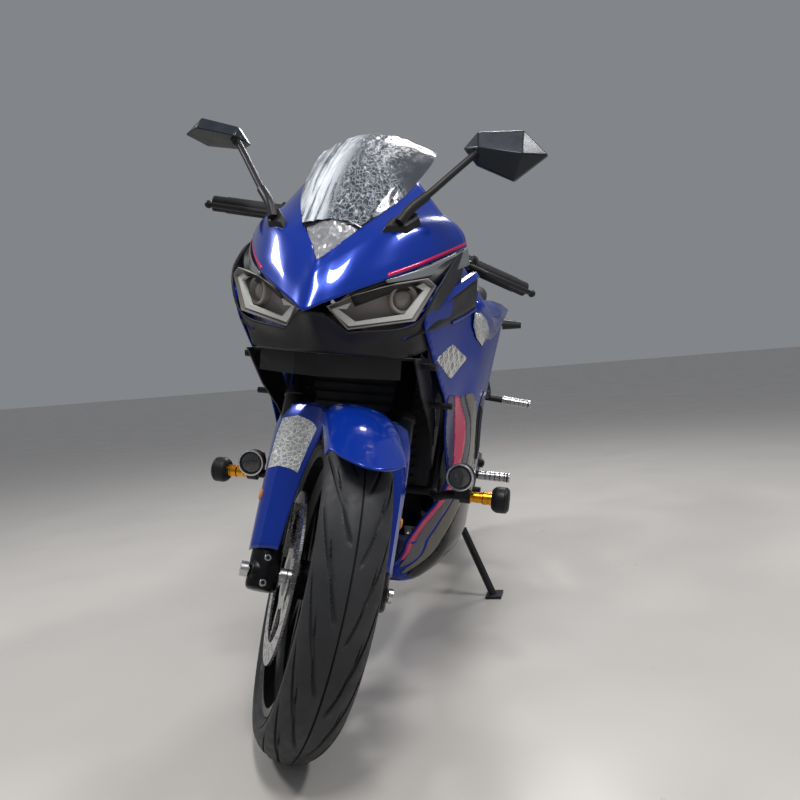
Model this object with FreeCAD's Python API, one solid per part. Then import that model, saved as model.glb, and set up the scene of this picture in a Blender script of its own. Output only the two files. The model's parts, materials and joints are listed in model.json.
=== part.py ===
import FreeCAD
import Part
import os
from math import acos, asin, atan2, cos, degrees, hypot, pi, radians, sin, sqrt, tan

# A faired sport bike of the 250 to 400 class, parked on its side stand with the steering against its left stop.
# Every piece is drawn on the upright bike, in millimetres: +X forward, +Y to the rider's left, +Z up,
# with the rear axle above x = 0 and the road at z = 0. Then the whole bike is leaned onto its stand.
# Pieces that turn with the handlebar are drawn in the fork's own frame: origin at the front axle,
# +Z up along the fork legs, +X square to them and forward.

Vector = FreeCAD.Vector
Placement = FreeCAD.Placement
Rotation = FreeCAD.Rotation

X_AXIS = Vector(1, 0, 0)
Y_AXIS = Vector(0, 1, 0)
Z_AXIS = Vector(0, 0, 1)

# Stance and steering
WHEELBASE = 1400.0
LEAN = 9.0                  # degrees to the left, on the side stand
CASTER = 25.0               # degrees of the steering axis from the vertical
FORK_OFFSET = 35.0          # axle in front of the steering axis
STEERING_STOP = 25.0        # degrees each side of straight ahead
RUNNING_GAP = 0.05          # radial play of a shaft in its bore
SEAT_GAP = 0.3              # play between pieces that seat on each other

# Wheels
FRONT_TYRE_RADIUS = 293.0
FRONT_TYRE_WIDTH = 110.0
FRONT_CROWN_RADIUS = 62.0
REAR_TYRE_RADIUS = 314.0
REAR_TYRE_WIDTH = 140.0
REAR_CROWN_RADIUS = 80.0
BEAD_RADIUS = 219.0
TYRE_WALL = 8.0
CROWN_SHARES = (0.18, 0.6, 1.0)   # corners of the crown, as shares of the angle from its middle to the shoulder
RIM_FLANGE = 4.5
RIM_WALL = 5.0
FRONT_RIM_HALF_WIDTH = 42.0
REAR_RIM_HALF_WIDTH = 56.0
SPOKE_PAIRS = 5
FRONT_HUB_RADIUS = 34.0
REAR_HUB_RADIUS = 42.0
FRONT_AXLE_RADIUS = 7.5
REAR_AXLE_RADIUS = 8.5
FRONT_DISC_RADIUS = 149.0
FRONT_DISC_Y = -58.0        # inner face of the disc, on the right
REAR_DISC_RADIUS = 110.0
REAR_DISC_Y = -80.0
DISC_THICKNESS = 4.5
PAD_GAP = 1.5

# Fork, in the fork's frame
FORK_HALF_SPACING = 97.0
SLIDER_RADIUS = 27.0
STANCHION_RADIUS = 20.5
SLIDER_FOOT = -32.0
SLIDER_TOP = 322.0
FORK_TOP = 700.0
LOWER_YOKE_Z = 478.0
LOWER_YOKE_HEIGHT = 34.0
UPPER_YOKE_Z = 636.0
UPPER_YOKE_HEIGHT = 20.0
STEM_RADIUS = 14.0
HEAD_TUBE_RADIUS = 27.0
CLIP_HEIGHT = 26.0
BAR_RISE = 35.0              # bar above the middle of its clamp
BAR_RADIUS = 11.0
GRIP_RADIUS = 16.5
GRIP_INNER = 205.0          # along the bar from the fork leg's plane
GRIP_LENGTH = 118.0
BAR_SWEEP = 16.0            # degrees back
BAR_DROP = 6.0              # degrees down

# Drive, swing arm and stand
PIVOT_X = 580.0
PIVOT_Z = 410.0
ARM_INNER_Y = 99.0
ARM_WIDTH = 26.0
CHAIN_Y = 85.0
CHAIN_PITCH = 15.875
REAR_SPROCKET_TEETH = 43
FRONT_SPROCKET_TEETH = 14
STAND_PIVOT = Vector(492.0, 132.0, 228.0)
STAND_FOOT_FORWARD = 52.0   # foot in front of the pivot
STAND_FOOT_OUT = 118.0      # foot outside the pivot
STAND_LEG_RADIUS = 10.0
STAND_FOLD = 84.0           # degrees from the parked place to the folded one

# Panels
SHELL = 3.5


# Tables of sections and outlines

PLATE_Y = 137.0
PLATE_WALL = 14.0
STAY_Y = 165.0
COWL_BAR_X = 165.0
COWL_BAR_HALF = 158.0
STAND_BOLT_TILT = 23.5
RADIATOR_X = 1082.0
RADIATOR_Z = 535.0
SLIDER_X = 1126.0
SLIDER_Z = 418.0
SCREEN_WALL = 3.5
SILENCER_START = Vector(352, -196, 330)
SILENCER_END = Vector(-62, -206, 492)

# x and z of the stays that hold the side panels
PANEL_STAYS = [(800, 686), (1010, 640)]
# x, y and foot z of the rubbers under the tank
TANK_STAYS = [(870, 122, 716)]
# x, z and half length of the frame's cross tubes
FRAME_CROSSES = [(466, 684, 115), (120, 752, 84)]
# x and z of the lower and upper corner of the cylinder head's front face
HEAD_FACE = [(962, 640), (990, 718)]
# x and z of the engine's mounting bolts
ENGINE_BOLTS = [(605, 490), (606, 330)]

# x, top z, shoulder half width and z, waist half width and z, foot half width and z
TANK_SECTIONS = [
    (626.4, 808, 60, 798, 70, 778, 68, 748),
    (664, 868, 84, 850, 112, 800, 98, 748),
    (740, 928, 112, 905, 160, 838, 126, 748),
    (850, 958, 130, 935, 180, 868, 140, 782),
    (960, 950, 122, 930, 168, 878, 132, 806),
    (1028, 918, 96, 900, 126, 868, 104, 838),
]
RIDER_SEAT_SECTIONS = [
    (626, 796, 60, 790, 74, 772, 72, 728),
    (540, 790, 92, 783, 112, 762, 104, 728),
    (430, 784, 118, 776, 138, 756, 126, 728),
    (300, 796, 126, 786, 142, 764, 128, 746),
    (204, 838, 104, 828, 120, 800, 108, 758),
]
PASSENGER_SEAT_SECTIONS = [
    (176, 868, 92, 858, 106, 838, 100, 812),
    (110, 890, 102, 880, 112, 860, 104, 826),
    (-30, 904, 92, 896, 102, 876, 92, 846),
    (-120, 902, 66, 896, 74, 884, 68, 858),
]
TAIL_DEPTH = 40.0            # how far the inside is run on below, to leave the tail open
TAIL_SECTIONS = [
    (400, 760, 118, 752, 146, 716, 122, 660),
    (200, 822, 112, 812, 140, 764, 108, 704),
    (0, 858, 94, 848, 118, 808, 84, 758),
    (-180, 880, 72, 872, 94, 838, 60, 794),
    (-345, 876, 30, 872, 44, 850, 26, 824),
]
# height: centre x, then (x, y) of the four corners of the plan outline on one side
NOSE_SECTIONS = {
    690.0: (1446, (1430, 40), (1372, 136), (1310, 172), (1240, 186)),
    732.0: (1478, (1446, 52), (1376, 144), (1312, 182), (1240, 196)),
    762.0: (1512, (1472, 25), (1385, 148), (1316, 190), (1240, 202)),
    819.0: (1486, (1456, 40), (1396, 179), (1320, 198), (1240, 206)),
    850.0: (1462, (1446, 46), (1384, 172), (1316, 196), (1240, 204)),
    912.0: (1392, (1386, 56), (1352, 132), (1306, 172), (1242, 196)),
    950.0: (1342, (1336, 80), (1316, 120), (1290, 150), (1246, 172)),
}
LAMP_OUTLINE = [(27, 760), (64, 792), (178, 818), (148, 762), (52, 734)]
# height of the cowl's upper edge at the screen's lower corner, and its rise for each millimetre rearward
SCREEN_FOOT = (1392, 906)
SCREEN_RISE = 0.625
COWL_UNDERCUT = [(1200, 880), (1240, 884), (1384, 806), (1392, 756), (1360, 740), (1300, 680), (1200, 680)]
# x, half width, rise of the crown over the edge
SCREEN_SECTIONS = [
    (1400, 50, 8),
    (1300, 88, 54),
    (1210, 106, 60),
    (1140, 114, 48),
    (1108, 114, 26),
]
# heights of the creases along the side panel, and the panel's half width at each from front to back
SIDE_CREASES = [905, 800, 690, 560, 420, 240]
SIDE_SECTIONS = [
    (1410, 160, 176, 150, 140, 132, 122),
    (1300, 190, 198, 188, 174, 164, 152),
    (1180, 200, 218, 210, 202, 200, 190),
    (1000, 190, 232, 236, 216, 202, 172),
    (820, 180, 246, 240, 206, 190, 150),
    (600, 170, 236, 226, 194, 178, 130),
]
SIDE_OUTLINE = [(1392, 752), (1386, 800), (1242, 872), (1140, 846), (1010, 802), (900, 790), (846, 806), (800, 760),
                (752, 662), (716, 560), (690, 420), (640, 300), (700, 250), (780, 246), (1010, 262), (1088, 318),
                (1106, 400), (1098, 470), (1124, 530), (1204, 588), (1296, 640)]
SIDE_OUTLET = [(1030, 590), (900, 630), (850, 560), (880, 470), (980, 430), (1020, 500)]
# corners of the flush indicator lens in the side panel
INDICATOR_OUTLINE = [(1300, 738), (1236, 724), (1206, 692), (1262, 672)]
# x, half width and z of the edge, half width and z of the floor
BELLY_SECTIONS = [
    (680, 126, 256, 92, 198),
    (800, 138, 250, 104, 194),
    (940, 150, 256, 100, 196),
    (1046, 152, 272, 80, 214),
]
# x and z of the bolts that hold the belly pan to the side panels
BELLY_BOLTS = [(790, 260), (990, 278)]
# y and z of the mirror head's corners
MIRROR_OUTLINE = [(216, 1084), (228, 1096), (298, 1098), (336, 1070), (330, 1050), (290, 1022), (226, 1030),
                  (212, 1052)]
MIRROR_DEPTH = 36.0


def circle_radius(teeth):
    """Pitch radius of a sprocket."""
    return CHAIN_PITCH / 2 / sin(pi / teeth)


def fork_frame():
    """From the fork's frame to the upright bike, steering straight ahead."""
    return Placement(Vector(WHEELBASE, 0, FRONT_TYRE_RADIUS), Rotation(Y_AXIS, -CASTER))


def steering_turn(angle):
    """Turn about the steering axis, in the fork's frame."""
    return Placement(Vector(), Rotation(Z_AXIS, angle), Vector(-FORK_OFFSET, 0, 0))


def crown_corners(radius, width, crown):
    """Radius and half width at each corner of a tyre's crown, from the middle band to the shoulder."""
    spread = asin(width / 2 / crown)
    corners = [(radius - crown + crown * cos(spread * share), crown * sin(spread * share))
               for share in CROWN_SHARES]
    corners[0] = (radius, corners[0][1])
    return corners


def lowest_point(placement, corners):
    """Height of the lowest point of a wheel whose centre and axle are given by the placement."""
    centre = placement.multVec(Vector())
    tilt = asin(abs(placement.Rotation.multVec(Y_AXIS).z))
    return centre.z - max(r * cos(tilt) + y * sin(tilt) for r, y in corners)


def parked():
    """Upright bike to parked bike: lean about the road line, then pitch and lift until both tyres touch the road."""
    pitch = 0.0
    lift = 0.0
    front = fork_frame().multiply(steering_turn(STEERING_STOP))
    rear = Placement(Vector(0, 0, REAR_TYRE_RADIUS), Rotation())
    rear_corners = crown_corners(REAR_TYRE_RADIUS, REAR_TYRE_WIDTH, REAR_CROWN_RADIUS)
    front_corners = crown_corners(FRONT_TYRE_RADIUS, FRONT_TYRE_WIDTH, FRONT_CROWN_RADIUS)
    for _ in range(30):
        turn = Rotation(Y_AXIS, pitch).multiply(Rotation(X_AXIS, -LEAN))
        place = Placement(Vector(0, 0, lift), turn)
        low_rear = lowest_point(place.multiply(rear), rear_corners)
        low_front = lowest_point(place.multiply(front), front_corners)
        lift -= low_rear
        pitch += degrees(atan2(low_front - low_rear, WHEELBASE))
    return place


PARKED = parked()


# Basic forms

def box(x0, x1, y0, y1, z0, z1):
    return Part.makeBox(x1 - x0, y1 - y0, z1 - z0, Vector(x0, y0, z0))


def rod(start, end, radius):
    axis = end.sub(start)
    return Part.makeCylinder(radius, axis.Length, start, axis)


def cone(start, end, radius_start, radius_end):
    axis = end.sub(start)
    return Part.makeCone(radius_start, radius_end, axis.Length, start, axis)


def ring(start, end, outer, inner):
    return rod(start, end, outer).cut(rod(start, end, inner))


def bent_pipe(points, radius, arc_radius):
    """Round pipe through the points, with an arc at each inner corner."""
    edges = []
    here = points[0]
    for before, corner, after in zip(points, points[1:], points[2:]):
        into = corner.sub(before).normalize()
        out = after.sub(corner).normalize()
        turn = acos(max(-1.0, min(1.0, into.dot(out))))
        trim = arc_radius * tan(turn / 2)
        a = corner.sub(Vector(into).multiply(trim))
        b = corner.add(Vector(out).multiply(trim))
        centre = Vector(out).sub(into).normalize().multiply(arc_radius / cos(turn / 2)).add(corner)
        middle = centre.add(corner.sub(centre).normalize().multiply(arc_radius))
        edges.append(Part.makeLine(here, a))
        edges.append(Part.Arc(a, middle, b).toShape())
        here = b
    edges.append(Part.makeLine(here, points[-1]))
    path = Part.Wire(edges)
    start = path.Edges[0]
    profile = Part.Wire(Part.makeCircle(radius, points[0], points[1].sub(points[0])))
    return path.makePipeShell([profile], True, False)


def bent_rod(points, radius):
    """Round bar through the points, bent on a tight arc at each corner."""
    return bent_pipe(points, radius, 2.4 * radius)


def fuse(shapes):
    whole = shapes[0]
    if len(shapes) > 1:
        whole = whole.multiFuse(shapes[1:])
    return whole.removeSplitter()


def polygon(points):
    return Part.Face(Part.makePolygon(points + [points[0]]))


def side_plate(outline, y0, y1):
    """Outline in (x, z), from y0 to y1."""
    return polygon([Vector(x, y0, z) for x, z in outline]).extrude(Vector(0, y1 - y0, 0))


def front_plate(outline, x0, x1):
    """Outline in (y, z), from x0 to x1."""
    return polygon([Vector(x0, y, z) for y, z in outline]).extrude(Vector(x1 - x0, 0, 0))


def flat_plate(outline, z0, z1):
    """Outline in (x, y), from z0 to z1."""
    return polygon([Vector(x, y, z0) for x, y in outline]).extrude(Vector(0, 0, z1 - z0))


def mirrored(shape):
    """The same piece on the right side of the bike."""
    return shape.mirror(Vector(), Y_AXIS)


def both_sides(shape):
    return [shape, mirrored(shape)]


def turned_profile(points):
    """Solid of revolution about the Y axis; each point is (radius, y)."""
    face = polygon([Vector(r, y, 0) for r, y in points])
    return face.revolve(Vector(), Y_AXIS, 360)


def section_wire(x, section):
    """Closed section across the bike at x: an arc over the top, then straight sides and bottom.
    section is (top z, shoulder half width, shoulder z, waist half width, waist z, foot half width, foot z)."""
    top, shoulder, shoulder_z, waist, waist_z, foot, foot_z = section
    left = [Vector(x, shoulder, shoulder_z), Vector(x, waist, waist_z), Vector(x, foot, foot_z)]
    right = [Vector(p.x, -p.y, p.z) for p in reversed(left)]
    arc = Part.Arc(right[-1], Vector(x, 0, top), left[0]).toShape()
    sides = Part.makePolygon(left + right).Edges
    return Part.Wire([arc] + sides)


def lofted(table):
    """Solid through closed sections; each row is x and then a section."""
    return Part.makeLoft([section_wire(row[0], row[1:]) for row in table], True, False)


def surface(rows):
    """Smooth face through a grid of points."""
    skin = Part.BSplineSurface()
    skin.interpolate([[Vector(*p) for p in row] for row in rows])
    return skin.toShape()


def shell(face, thickness):
    """A smooth face given a wall."""
    wall = face.makeOffsetShape(thickness, 0.01, fill=True)
    solid = wall.Solids[0] if wall.Solids else Part.Solid(wall)
    if solid.Volume < 0:
        solid.reverse()
    return solid


# Wheels

def tyre(radius, width, crown, rim_half_width):
    """Carcass of flat bands: a round crown, a bulged side, straight beads and an open inside."""
    half = width / 2
    bead = rim_half_width - 0.5
    lip = BEAD_RADIUS + 10
    corners = crown_corners(radius, width, crown)
    outside = [(r, -y) for r, y in reversed(corners)] + corners
    inner_half = half - TYRE_WALL
    inner_shoulder = outside[0][0]
    bulge = (outside[0][0] + lip) / 2
    profile = outside + [
        (bulge, half - 1.5), (lip, bead), (BEAD_RADIUS, bead), (BEAD_RADIUS, bead - TYRE_WALL),
        (inner_shoulder, inner_half), (radius - TYRE_WALL, inner_half * 0.35),
        (radius - TYRE_WALL, -inner_half * 0.35), (inner_shoulder, -inner_half),
        (BEAD_RADIUS, TYRE_WALL - bead), (BEAD_RADIUS, -bead), (lip, -bead), (bulge, 1.5 - half)]
    return turned_profile(profile)


def wheel_casting(half_width, hub_radius, hub_left, hub_right, bore_radius):
    """Rim with a drop centre, a hub and pairs of tapering spokes."""
    seat = BEAD_RADIUS - SEAT_GAP
    flange = BEAD_RADIUS + 8
    outer = half_width + RIM_FLANGE
    well = seat - 16
    inside = seat - RIM_WALL
    rim = turned_profile([
        (flange, half_width), (flange, outer), (inside, outer), (inside, half_width * 0.62),
        (well - RIM_WALL, half_width * 0.35), (well - RIM_WALL, -half_width * 0.35),
        (inside, -half_width * 0.62), (inside, -outer), (flange, -outer), (flange, -half_width),
        (seat, -half_width), (seat, -half_width * 0.68), (well, -half_width * 0.4),
        (well, half_width * 0.4), (seat, half_width * 0.68), (seat, half_width)])
    hub = rod(Vector(0, hub_right, 0), Vector(0, hub_left, 0), hub_radius)
    spoke_end = well - RIM_WALL / 2
    spokes = []
    for pair in range(SPOKE_PAIRS):
        for side in (-1, 1):
            root = radians(360 * pair / SPOKE_PAIRS + side * 12)
            tip = radians(360 * pair / SPOKE_PAIRS + side * 15)
            start = Vector(cos(root), 0, sin(root)).multiply(hub_radius * 0.8)
            end = Vector(cos(tip), 0, sin(tip)).multiply(spoke_end)
            along = end.sub(start).normalize()
            across = Vector(-along.z, 0, along.x)
            corners = [start.add(across.multiply(12)), end.add(Vector(-along.z, 0, along.x).multiply(7.5)),
                       end.sub(Vector(-along.z, 0, along.x).multiply(7.5)),
                       start.sub(Vector(-along.z, 0, along.x).multiply(12))]
            face = polygon([Vector(p.x, -half_width, p.z) for p in corners])
            spokes.append(face.extrude(Vector(0, 2 * half_width, 0)))
    envelope = turned_profile([(0, 24), (hub_radius, 22), (spoke_end + 1, 11),
                               (spoke_end + 1, -11), (hub_radius, -22), (0, -24)])
    star = spokes[0].multiFuse(spokes[1:]).common(envelope)
    casting = fuse([rim, hub, star])
    reach = max(hub_left, -hub_right) + 10
    return casting.cut(rod(Vector(0, -reach, 0), Vector(0, reach, 0), bore_radius))


def brake_disc(radius, inner, y_inner, holes, carrier_radius, hub_radius):
    """Drilled ring on the outer face of a spoked carrier. The disc lies outside y_inner, on the right."""
    outer_y = y_inner - DISC_THICKNESS
    ring_part = ring(Vector(0, outer_y, 0), Vector(0, y_inner, 0), radius, inner)
    drills = []
    for k in range(holes):
        for row, share in enumerate((0.25, 0.5, 0.75)):
            angle = 2 * pi * (k + row / 3) / holes
            r = inner + (radius - inner) * share
            centre = Vector(r * cos(angle), outer_y - 1, r * sin(angle))
            drills.append(Part.makeCylinder(3.5, DISC_THICKNESS + 2, centre, Y_AXIS))
    ring_part = ring_part.cut(Part.makeCompound(drills))
    carrier_y = y_inner + 6
    carrier = ring(Vector(0, y_inner, 0), Vector(0, carrier_y, 0), carrier_radius, hub_radius)
    arms = []
    for k in range(6):
        arm = box(carrier_radius - 6, inner + 8, y_inner, carrier_y, -9, 9)
        arm.rotate(Vector(), Y_AXIS, 60 * k)
        arms.append(arm)
    return fuse([ring_part, carrier] + arms)


def sprocket(teeth, tip_radius, bore, y0, y1):
    """Toothed plate with lightening holes. The teeth stay inside the rollers of the fixed chain."""
    points = []
    root = tip_radius - 5
    for k in range(teeth):
        for share, r in ((0.0, root), (0.3, root), (0.42, tip_radius), (0.58, tip_radius), (0.7, root)):
            angle = 2 * pi * (k + share) / teeth
            points.append(Vector(r * cos(angle), y0, r * sin(angle)))
    plate = polygon(points).extrude(Vector(0, y1 - y0, 0))
    return plate.cut(rod(Vector(0, y0 - 1, 0), Vector(0, y1 + 1, 0), bore))


def chain_loop():
    """Drive chain: a loop of rollers between side plates, round both sprockets."""
    rear_radius = circle_radius(REAR_SPROCKET_TEETH)
    front_radius = circle_radius(FRONT_SPROCKET_TEETH)
    front = Vector(PIVOT_X + 85, 0, PIVOT_Z + 2)
    rear = Vector(0, 0, REAR_TYRE_RADIUS)
    span = front.sub(rear)
    slope = atan2(span.z, span.x)
    spread = asin((rear_radius - front_radius) / span.Length)

    def loop(shift, y):
        def at(centre, radius, angle):
            return Vector(centre.x + radius * cos(angle), y, centre.z + radius * sin(angle))
        a1 = slope + pi / 2 - spread
        a2 = slope - pi / 2 + spread
        big, small = rear_radius + shift, front_radius + shift
        return Part.Wire([
            Part.makeLine(at(rear, big, a1), at(front, small, a1)),
            Part.Arc(at(front, small, a1), at(front, small, slope), at(front, small, a2)).toShape(),
            Part.makeLine(at(front, small, a2), at(rear, big, a2)),
            Part.Arc(at(rear, big, a2), at(rear, big, slope + pi), at(rear, big, a1)).toShape()])

    def band(half_height, y0, y1):
        outer = Part.Face(loop(half_height, y0)).extrude(Vector(0, y1 - y0, 0))
        inner = Part.Face(loop(-half_height, y0)).extrude(Vector(0, y1 - y0, 0))
        return outer.cut(inner)

    rollers = band(4.6, CHAIN_Y - 5.5, CHAIN_Y + 5.5)
    plates = [band(6.5, CHAIN_Y - 7.5, CHAIN_Y - 5.5), band(6.5, CHAIN_Y + 5.5, CHAIN_Y + 7.5)]
    return fuse([rollers] + plates), front


def front_tyre():
    return tyre(FRONT_TYRE_RADIUS, FRONT_TYRE_WIDTH, FRONT_CROWN_RADIUS, FRONT_RIM_HALF_WIDTH)


def front_wheel_rim():
    return wheel_casting(FRONT_RIM_HALF_WIDTH, FRONT_HUB_RADIUS, 52, FRONT_DISC_Y,
                         FRONT_AXLE_RADIUS + RUNNING_GAP)


def front_brake_disc():
    return brake_disc(FRONT_DISC_RADIUS, 112, FRONT_DISC_Y, 24, 56, FRONT_HUB_RADIUS)


def rear_tyre():
    return tyre(REAR_TYRE_RADIUS, REAR_TYRE_WIDTH, REAR_CROWN_RADIUS, REAR_RIM_HALF_WIDTH)


def rear_wheel_rim():
    return wheel_casting(REAR_RIM_HALF_WIDTH, REAR_HUB_RADIUS, 92, REAR_DISC_Y - DISC_THICKNESS,
                         REAR_AXLE_RADIUS + RUNNING_GAP)


def rear_brake_disc():
    return brake_disc(REAR_DISC_RADIUS, 76, REAR_DISC_Y, 20, 60, REAR_HUB_RADIUS)


def rear_sprocket():
    tip = circle_radius(REAR_SPROCKET_TEETH) - 5.2
    plate = sprocket(REAR_SPROCKET_TEETH, tip, REAR_HUB_RADIUS, CHAIN_Y - 3.5, CHAIN_Y + 3.5)
    holes = []
    for k in range(6):
        angle = pi / 3 * k
        centre = Vector(74 * cos(angle), CHAIN_Y - 5, 74 * sin(angle))
        holes.append(Part.makeCylinder(13, 10, centre, Y_AXIS))
    return plate.cut(Part.makeCompound(holes))


# Steering assembly, in the fork's frame

def fork_leg(side):
    """Slider with its axle foot, and the bright tube above it."""
    y = side * FORK_HALF_SPACING
    slider = rod(Vector(0, y, SLIDER_FOOT), Vector(0, y, SLIDER_TOP), SLIDER_RADIUS)
    collar = rod(Vector(0, y, SLIDER_TOP), Vector(0, y, SLIDER_TOP + 14), SLIDER_RADIUS + 2)
    tube = rod(Vector(0, y, SLIDER_TOP + 14), Vector(0, y, FORK_TOP), STANCHION_RADIUS)
    cap = rod(Vector(0, y, FORK_TOP), Vector(0, y, FORK_TOP + 9), 15)
    foot = rod(Vector(0, y - 22, 0), Vector(0, y + 22, 0), 24)
    leg = fuse([slider, collar, tube, cap, foot])
    return leg.cut(rod(Vector(0, y - 60, 0), Vector(0, y + 60, 0), FRONT_AXLE_RADIUS + RUNNING_GAP))


def front_axle():
    """Axle with its head, nut and the two spacers that hold the wheel central."""
    outer = FORK_HALF_SPACING + SLIDER_RADIUS
    shaft = rod(Vector(0, -outer - 6, 0), Vector(0, outer + 8, 0), FRONT_AXLE_RADIUS)
    head = rod(Vector(0, outer + 1, 0), Vector(0, outer + 9, 0), 13)
    nut = rod(Vector(0, -outer - 13, 0), Vector(0, -outer - 1, 0), 13)
    inner = FORK_HALF_SPACING - SLIDER_RADIUS
    left = rod(Vector(0, 52 + SEAT_GAP, 0), Vector(0, inner - SEAT_GAP, 0), 13)
    right = rod(Vector(0, -inner + SEAT_GAP, 0), Vector(0, FRONT_DISC_Y - SEAT_GAP, 0), 13)
    return fuse([shaft, head, nut, left, right])


def lower_yoke():
    """Lower fork bridge with the steering stem."""
    z0, z1 = LOWER_YOKE_Z, LOWER_YOKE_Z + LOWER_YOKE_HEIGHT
    s = FORK_HALF_SPACING
    outline = [(30, s + 30), (-28, s + 30), (-62, 34), (-62, -34), (-28, -s - 30), (30, -s - 30), (18, 0)]
    plate = flat_plate(outline, z0, z1)
    stem = rod(Vector(-FORK_OFFSET, 0, z1 - 4), Vector(-FORK_OFFSET, 0, UPPER_YOKE_Z + 4), STEM_RADIUS)
    whole = fuse([plate, stem])
    return whole.cut(stanchion_pair(z0 - 1, z1 + 1))


def stanchion_pair(z0, z1):
    pair = [rod(Vector(0, y, z0), Vector(0, y, z1), STANCHION_RADIUS + RUNNING_GAP)
            for y in (-FORK_HALF_SPACING, FORK_HALF_SPACING)]
    return Part.makeCompound(pair)


def upper_yoke():
    """Upper fork bridge with the stem nut and the ignition lock."""
    z0, z1 = UPPER_YOKE_Z, UPPER_YOKE_Z + UPPER_YOKE_HEIGHT
    s = FORK_HALF_SPACING
    outline = [(27, s + 27), (-26, s + 27), (-58, 30), (-58, -30), (-26, -s - 27), (27, -s - 27), (8, -40), (8, 40)]
    plate = flat_plate(outline, z0, z1)
    nut = rod(Vector(-FORK_OFFSET, 0, z1), Vector(-FORK_OFFSET, 0, z1 + 10), 16)
    lock = rod(Vector(-8, 0, z0), Vector(-8, 0, z1 + 14), 12)
    whole = fuse([plate, nut.cut(lock), lock])
    return whole.cut(stanchion_pair(z0 - 1, z1 + 1))


def bar_end_points(side):
    """Start of the bar at the fork leg, and its far end."""
    start = Vector(0, side * FORK_HALF_SPACING, UPPER_YOKE_Z + UPPER_YOKE_HEIGHT + CLIP_HEIGHT / 2 + BAR_RISE)
    sweep, drop = radians(BAR_SWEEP), radians(BAR_DROP)
    # the fork's frame is tilted back, so level is found by undoing the caster
    level = Rotation(Y_AXIS, CASTER).multVec(Vector(-sin(sweep), side * cos(sweep), -tan(drop)))
    return start, level.normalize()


def clip_on(side):
    """Clamp round the fork tube and the bar that it carries."""
    start, along = bar_end_points(side)
    z0 = UPPER_YOKE_Z + UPPER_YOKE_HEIGHT + SEAT_GAP
    centre = Vector(0, start.y, z0)
    clamp = rod(centre, Vector(0, start.y, z0 + CLIP_HEIGHT - SEAT_GAP), STANCHION_RADIUS + 9)
    bar = rod(start, start.add(Vector(along).multiply(GRIP_INNER + GRIP_LENGTH - FORK_HALF_SPACING + 6)), BAR_RADIUS)
    riser = rod(Vector(0, start.y + side * 24, z0 + 5), start.add(Vector(along).multiply(27)), 10)
    whole = fuse([clamp, bar, riser])
    bore = rod(Vector(0, start.y, z0 - 20), Vector(0, start.y, FORK_TOP + 9.5), STANCHION_RADIUS + RUNNING_GAP)
    return whole.cut(bore)


def grip(side):
    """Ribbed rubber grip with the bar-end weight."""
    start, along = bar_end_points(side)
    first = GRIP_INNER - FORK_HALF_SPACING
    a = start.add(Vector(along).multiply(first))
    b = start.add(Vector(along).multiply(first + GRIP_LENGTH))
    sleeve = rod(a, b, GRIP_RADIUS)
    flange = rod(a, a.add(Vector(along).multiply(4)), GRIP_RADIUS + 5)
    weight = rod(b, b.add(Vector(along).multiply(28)), GRIP_RADIUS - 1)
    whole = fuse([sleeve, flange, weight])
    inner = rod(start, b.add(Vector(along).multiply(6)), BAR_RADIUS + RUNNING_GAP)
    return whole.cut(inner)


def lever(side):
    """Perch on the bar with a bent blade in front of the grip."""
    start, along = bar_end_points(side)
    first = GRIP_INNER - FORK_HALF_SPACING - 34
    forward = Rotation(Y_AXIS, CASTER).multVec(Vector(1, 0, -0.18))
    forward = forward.sub(Vector(along).multiply(forward.dot(along))).normalize()
    a = start.add(Vector(along).multiply(first))
    b = start.add(Vector(along).multiply(first + 26))
    perch = rod(a, b, BAR_RADIUS + 7)
    root = a.add(Vector(along).multiply(13))
    knuckle = root.add(Vector(forward).multiply(36))
    arm = rod(root, knuckle, 9)
    blade = [knuckle,
             knuckle.add(Vector(along).multiply(34)).add(Vector(forward).multiply(16)),
             knuckle.add(Vector(along).multiply(95)).add(Vector(forward).multiply(14)),
             knuckle.add(Vector(along).multiply(165)).add(Vector(forward).multiply(2))]
    return fuse([perch, arm, bent_rod(blade, 5.5), Part.makeSphere(8, blade[-1])])


def brake_master():
    """Front brake master cylinder and its fluid pot, on the right."""
    start, along = bar_end_points(-1)
    forward = Rotation(Y_AXIS, CASTER).multVec(Vector(1, 0, -0.18))
    forward = forward.sub(Vector(along).multiply(forward.dot(along))).normalize()
    up = Rotation(Y_AXIS, CASTER).multVec(Z_AXIS)
    root = start.add(Vector(along).multiply(GRIP_INNER - FORK_HALF_SPACING - 23)).add(Vector(forward).multiply(22))
    cylinder = rod(root, root.sub(Vector(along).multiply(46)), 9)
    pot_foot = root.sub(Vector(along).multiply(24)).add(Vector(up).multiply(6))
    pot = rod(pot_foot, pot_foot.add(Vector(up).multiply(38)), 17)
    lid = rod(pot_foot.add(Vector(up).multiply(38)), pot_foot.add(Vector(up).multiply(43)), 19)
    return fuse([cylinder, pot, lid])


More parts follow.
